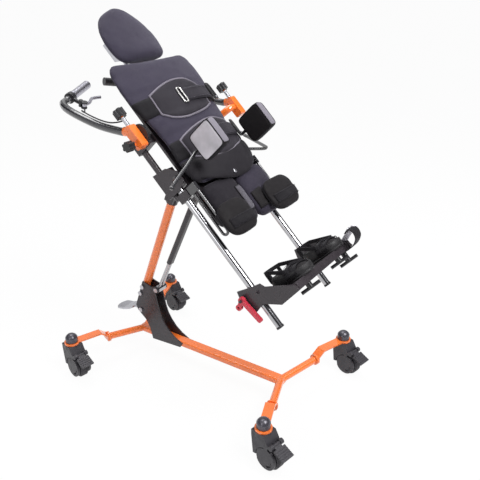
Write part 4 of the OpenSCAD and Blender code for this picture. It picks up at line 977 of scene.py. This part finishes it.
# Floor, light and backdrop
floor_mesh = bpy.data.meshes.new("floor")
FLOOR = 60
corners = [(-FLOOR, -FLOOR, 0), (FLOOR, -FLOOR, 0), (FLOOR, FLOOR, 0), (-FLOOR, FLOOR, 0)]
floor_mesh.from_pydata(corners, [], [(0, 1, 2, 3)])
floor = bpy.data.objects.new("floor", floor_mesh)
SCENE.collection.objects.link(floor)
pale = Shader("floor")
pale.main.inputs["Base Color"].default_value = (0.86, 0.86, 0.87, 1.0)
pale.main.inputs["Roughness"].default_value = 0.9
glow = pale.add("ShaderNodeEmission", {"Color": (1, 1, 1, 1), "Strength": 1.0})
path = pale.add("ShaderNodeLightPath")
seen = pale.maths("MAXIMUM", path.outputs["Is Camera Ray"], path.outputs["Is Glossy Ray"])
seen = pale.maths("MULTIPLY", pale.maths("MAXIMUM", seen, path.outputs["Is Transmission Ray"]), 0.95)
both = pale.add("ShaderNodeMixShader", {0: seen, 1: pale.main.outputs[0], 2: glow.outputs[0]})
pale.tree.links.new(both.outputs[0], pale.tree.nodes["Material Output"].inputs["Surface"])
floor_mesh.materials.append(pale.material)

world = bpy.data.worlds.new("studio")
SCENE.world = world
world.use_nodes = True
tree = world.node_tree
sky = tree.nodes["Background"]
sky.inputs["Strength"].default_value = 0.62
# A pale studio: bright overhead, behind the object and along the floor's edge, dim in between
way = tree.nodes.new("ShaderNodeTexCoord")
height = tree.nodes.new("ShaderNodeSeparateXYZ")
walls = tree.nodes.new("ShaderNodeValToRGB")
# Heights of the walls' bands, from the floor's edge up, and the brightness of each
BANDS = [(0.0, 1.5), (0.12, 1.5), (0.16, 0.05), (0.54, 0.08), (0.76, 1.15)]
stops = walls.color_ramp.elements
stops[0].position = BANDS[0][0]
stops[1].position = BANDS[-1][0]
for place, _ in BANDS[1:-1]:
    stops.new(place)
for stop, (_, level) in zip(stops, BANDS):
    stop.color = (level, level, level * 1.03, 1.0)
tree.links.new(way.outputs["Generated"], height.inputs[0])
tree.links.new(height.outputs["Z"], walls.inputs[0])
facing = tree.nodes.new("ShaderNodeVectorMath")
facing.operation = "DOT_PRODUCT"
facing.inputs[1].default_value = (0.762, 0.503, 0.408)
tree.links.new(way.outputs["Generated"], facing.inputs[0])
spread = tree.nodes.new("ShaderNodeMapRange")
spread.inputs["From Min"].default_value = 0.8
spread.inputs["From Max"].default_value = 0.94
tree.links.new(facing.outputs["Value"], spread.inputs["Value"])
screen = tree.nodes.new("ShaderNodeMix")
screen.data_type = "RGBA"
tree.links.new(spread.outputs[0], screen.inputs[0])
tree.links.new(walls.outputs[0], screen.inputs[6])
screen.inputs[7].default_value = (1.0, 1.0, 1.0, 1.0)
tree.links.new(screen.outputs[2], sky.inputs["Color"])


MIDDLE = Vector((0, 0, 0.6))


def lamp(name, place, size, power):
    """Soft rectangular lamp that faces the middle of the object."""
    data = bpy.data.lights.new(name, "AREA")
    data.shape = "RECTANGLE"
    data.size, data.size_y = size
    data.energy = power
    made = bpy.data.objects.new(name, data)
    SCENE.collection.objects.link(made)
    made.location = place
    made.rotation_mode = "QUATERNION"
    made.rotation_quaternion = (MIDDLE - Vector(place)).to_track_quat("-Z", "Y")


lamp("key", (-0.15, -2.0, 2.9), (1.3, 1.3), 82)
lamp("fill", (-2.3, -0.2, 1.5), (0.9, 1.5), 11)
lamp("top", (0.4, 0.8, 3.2), (1.8, 1.8), 48)
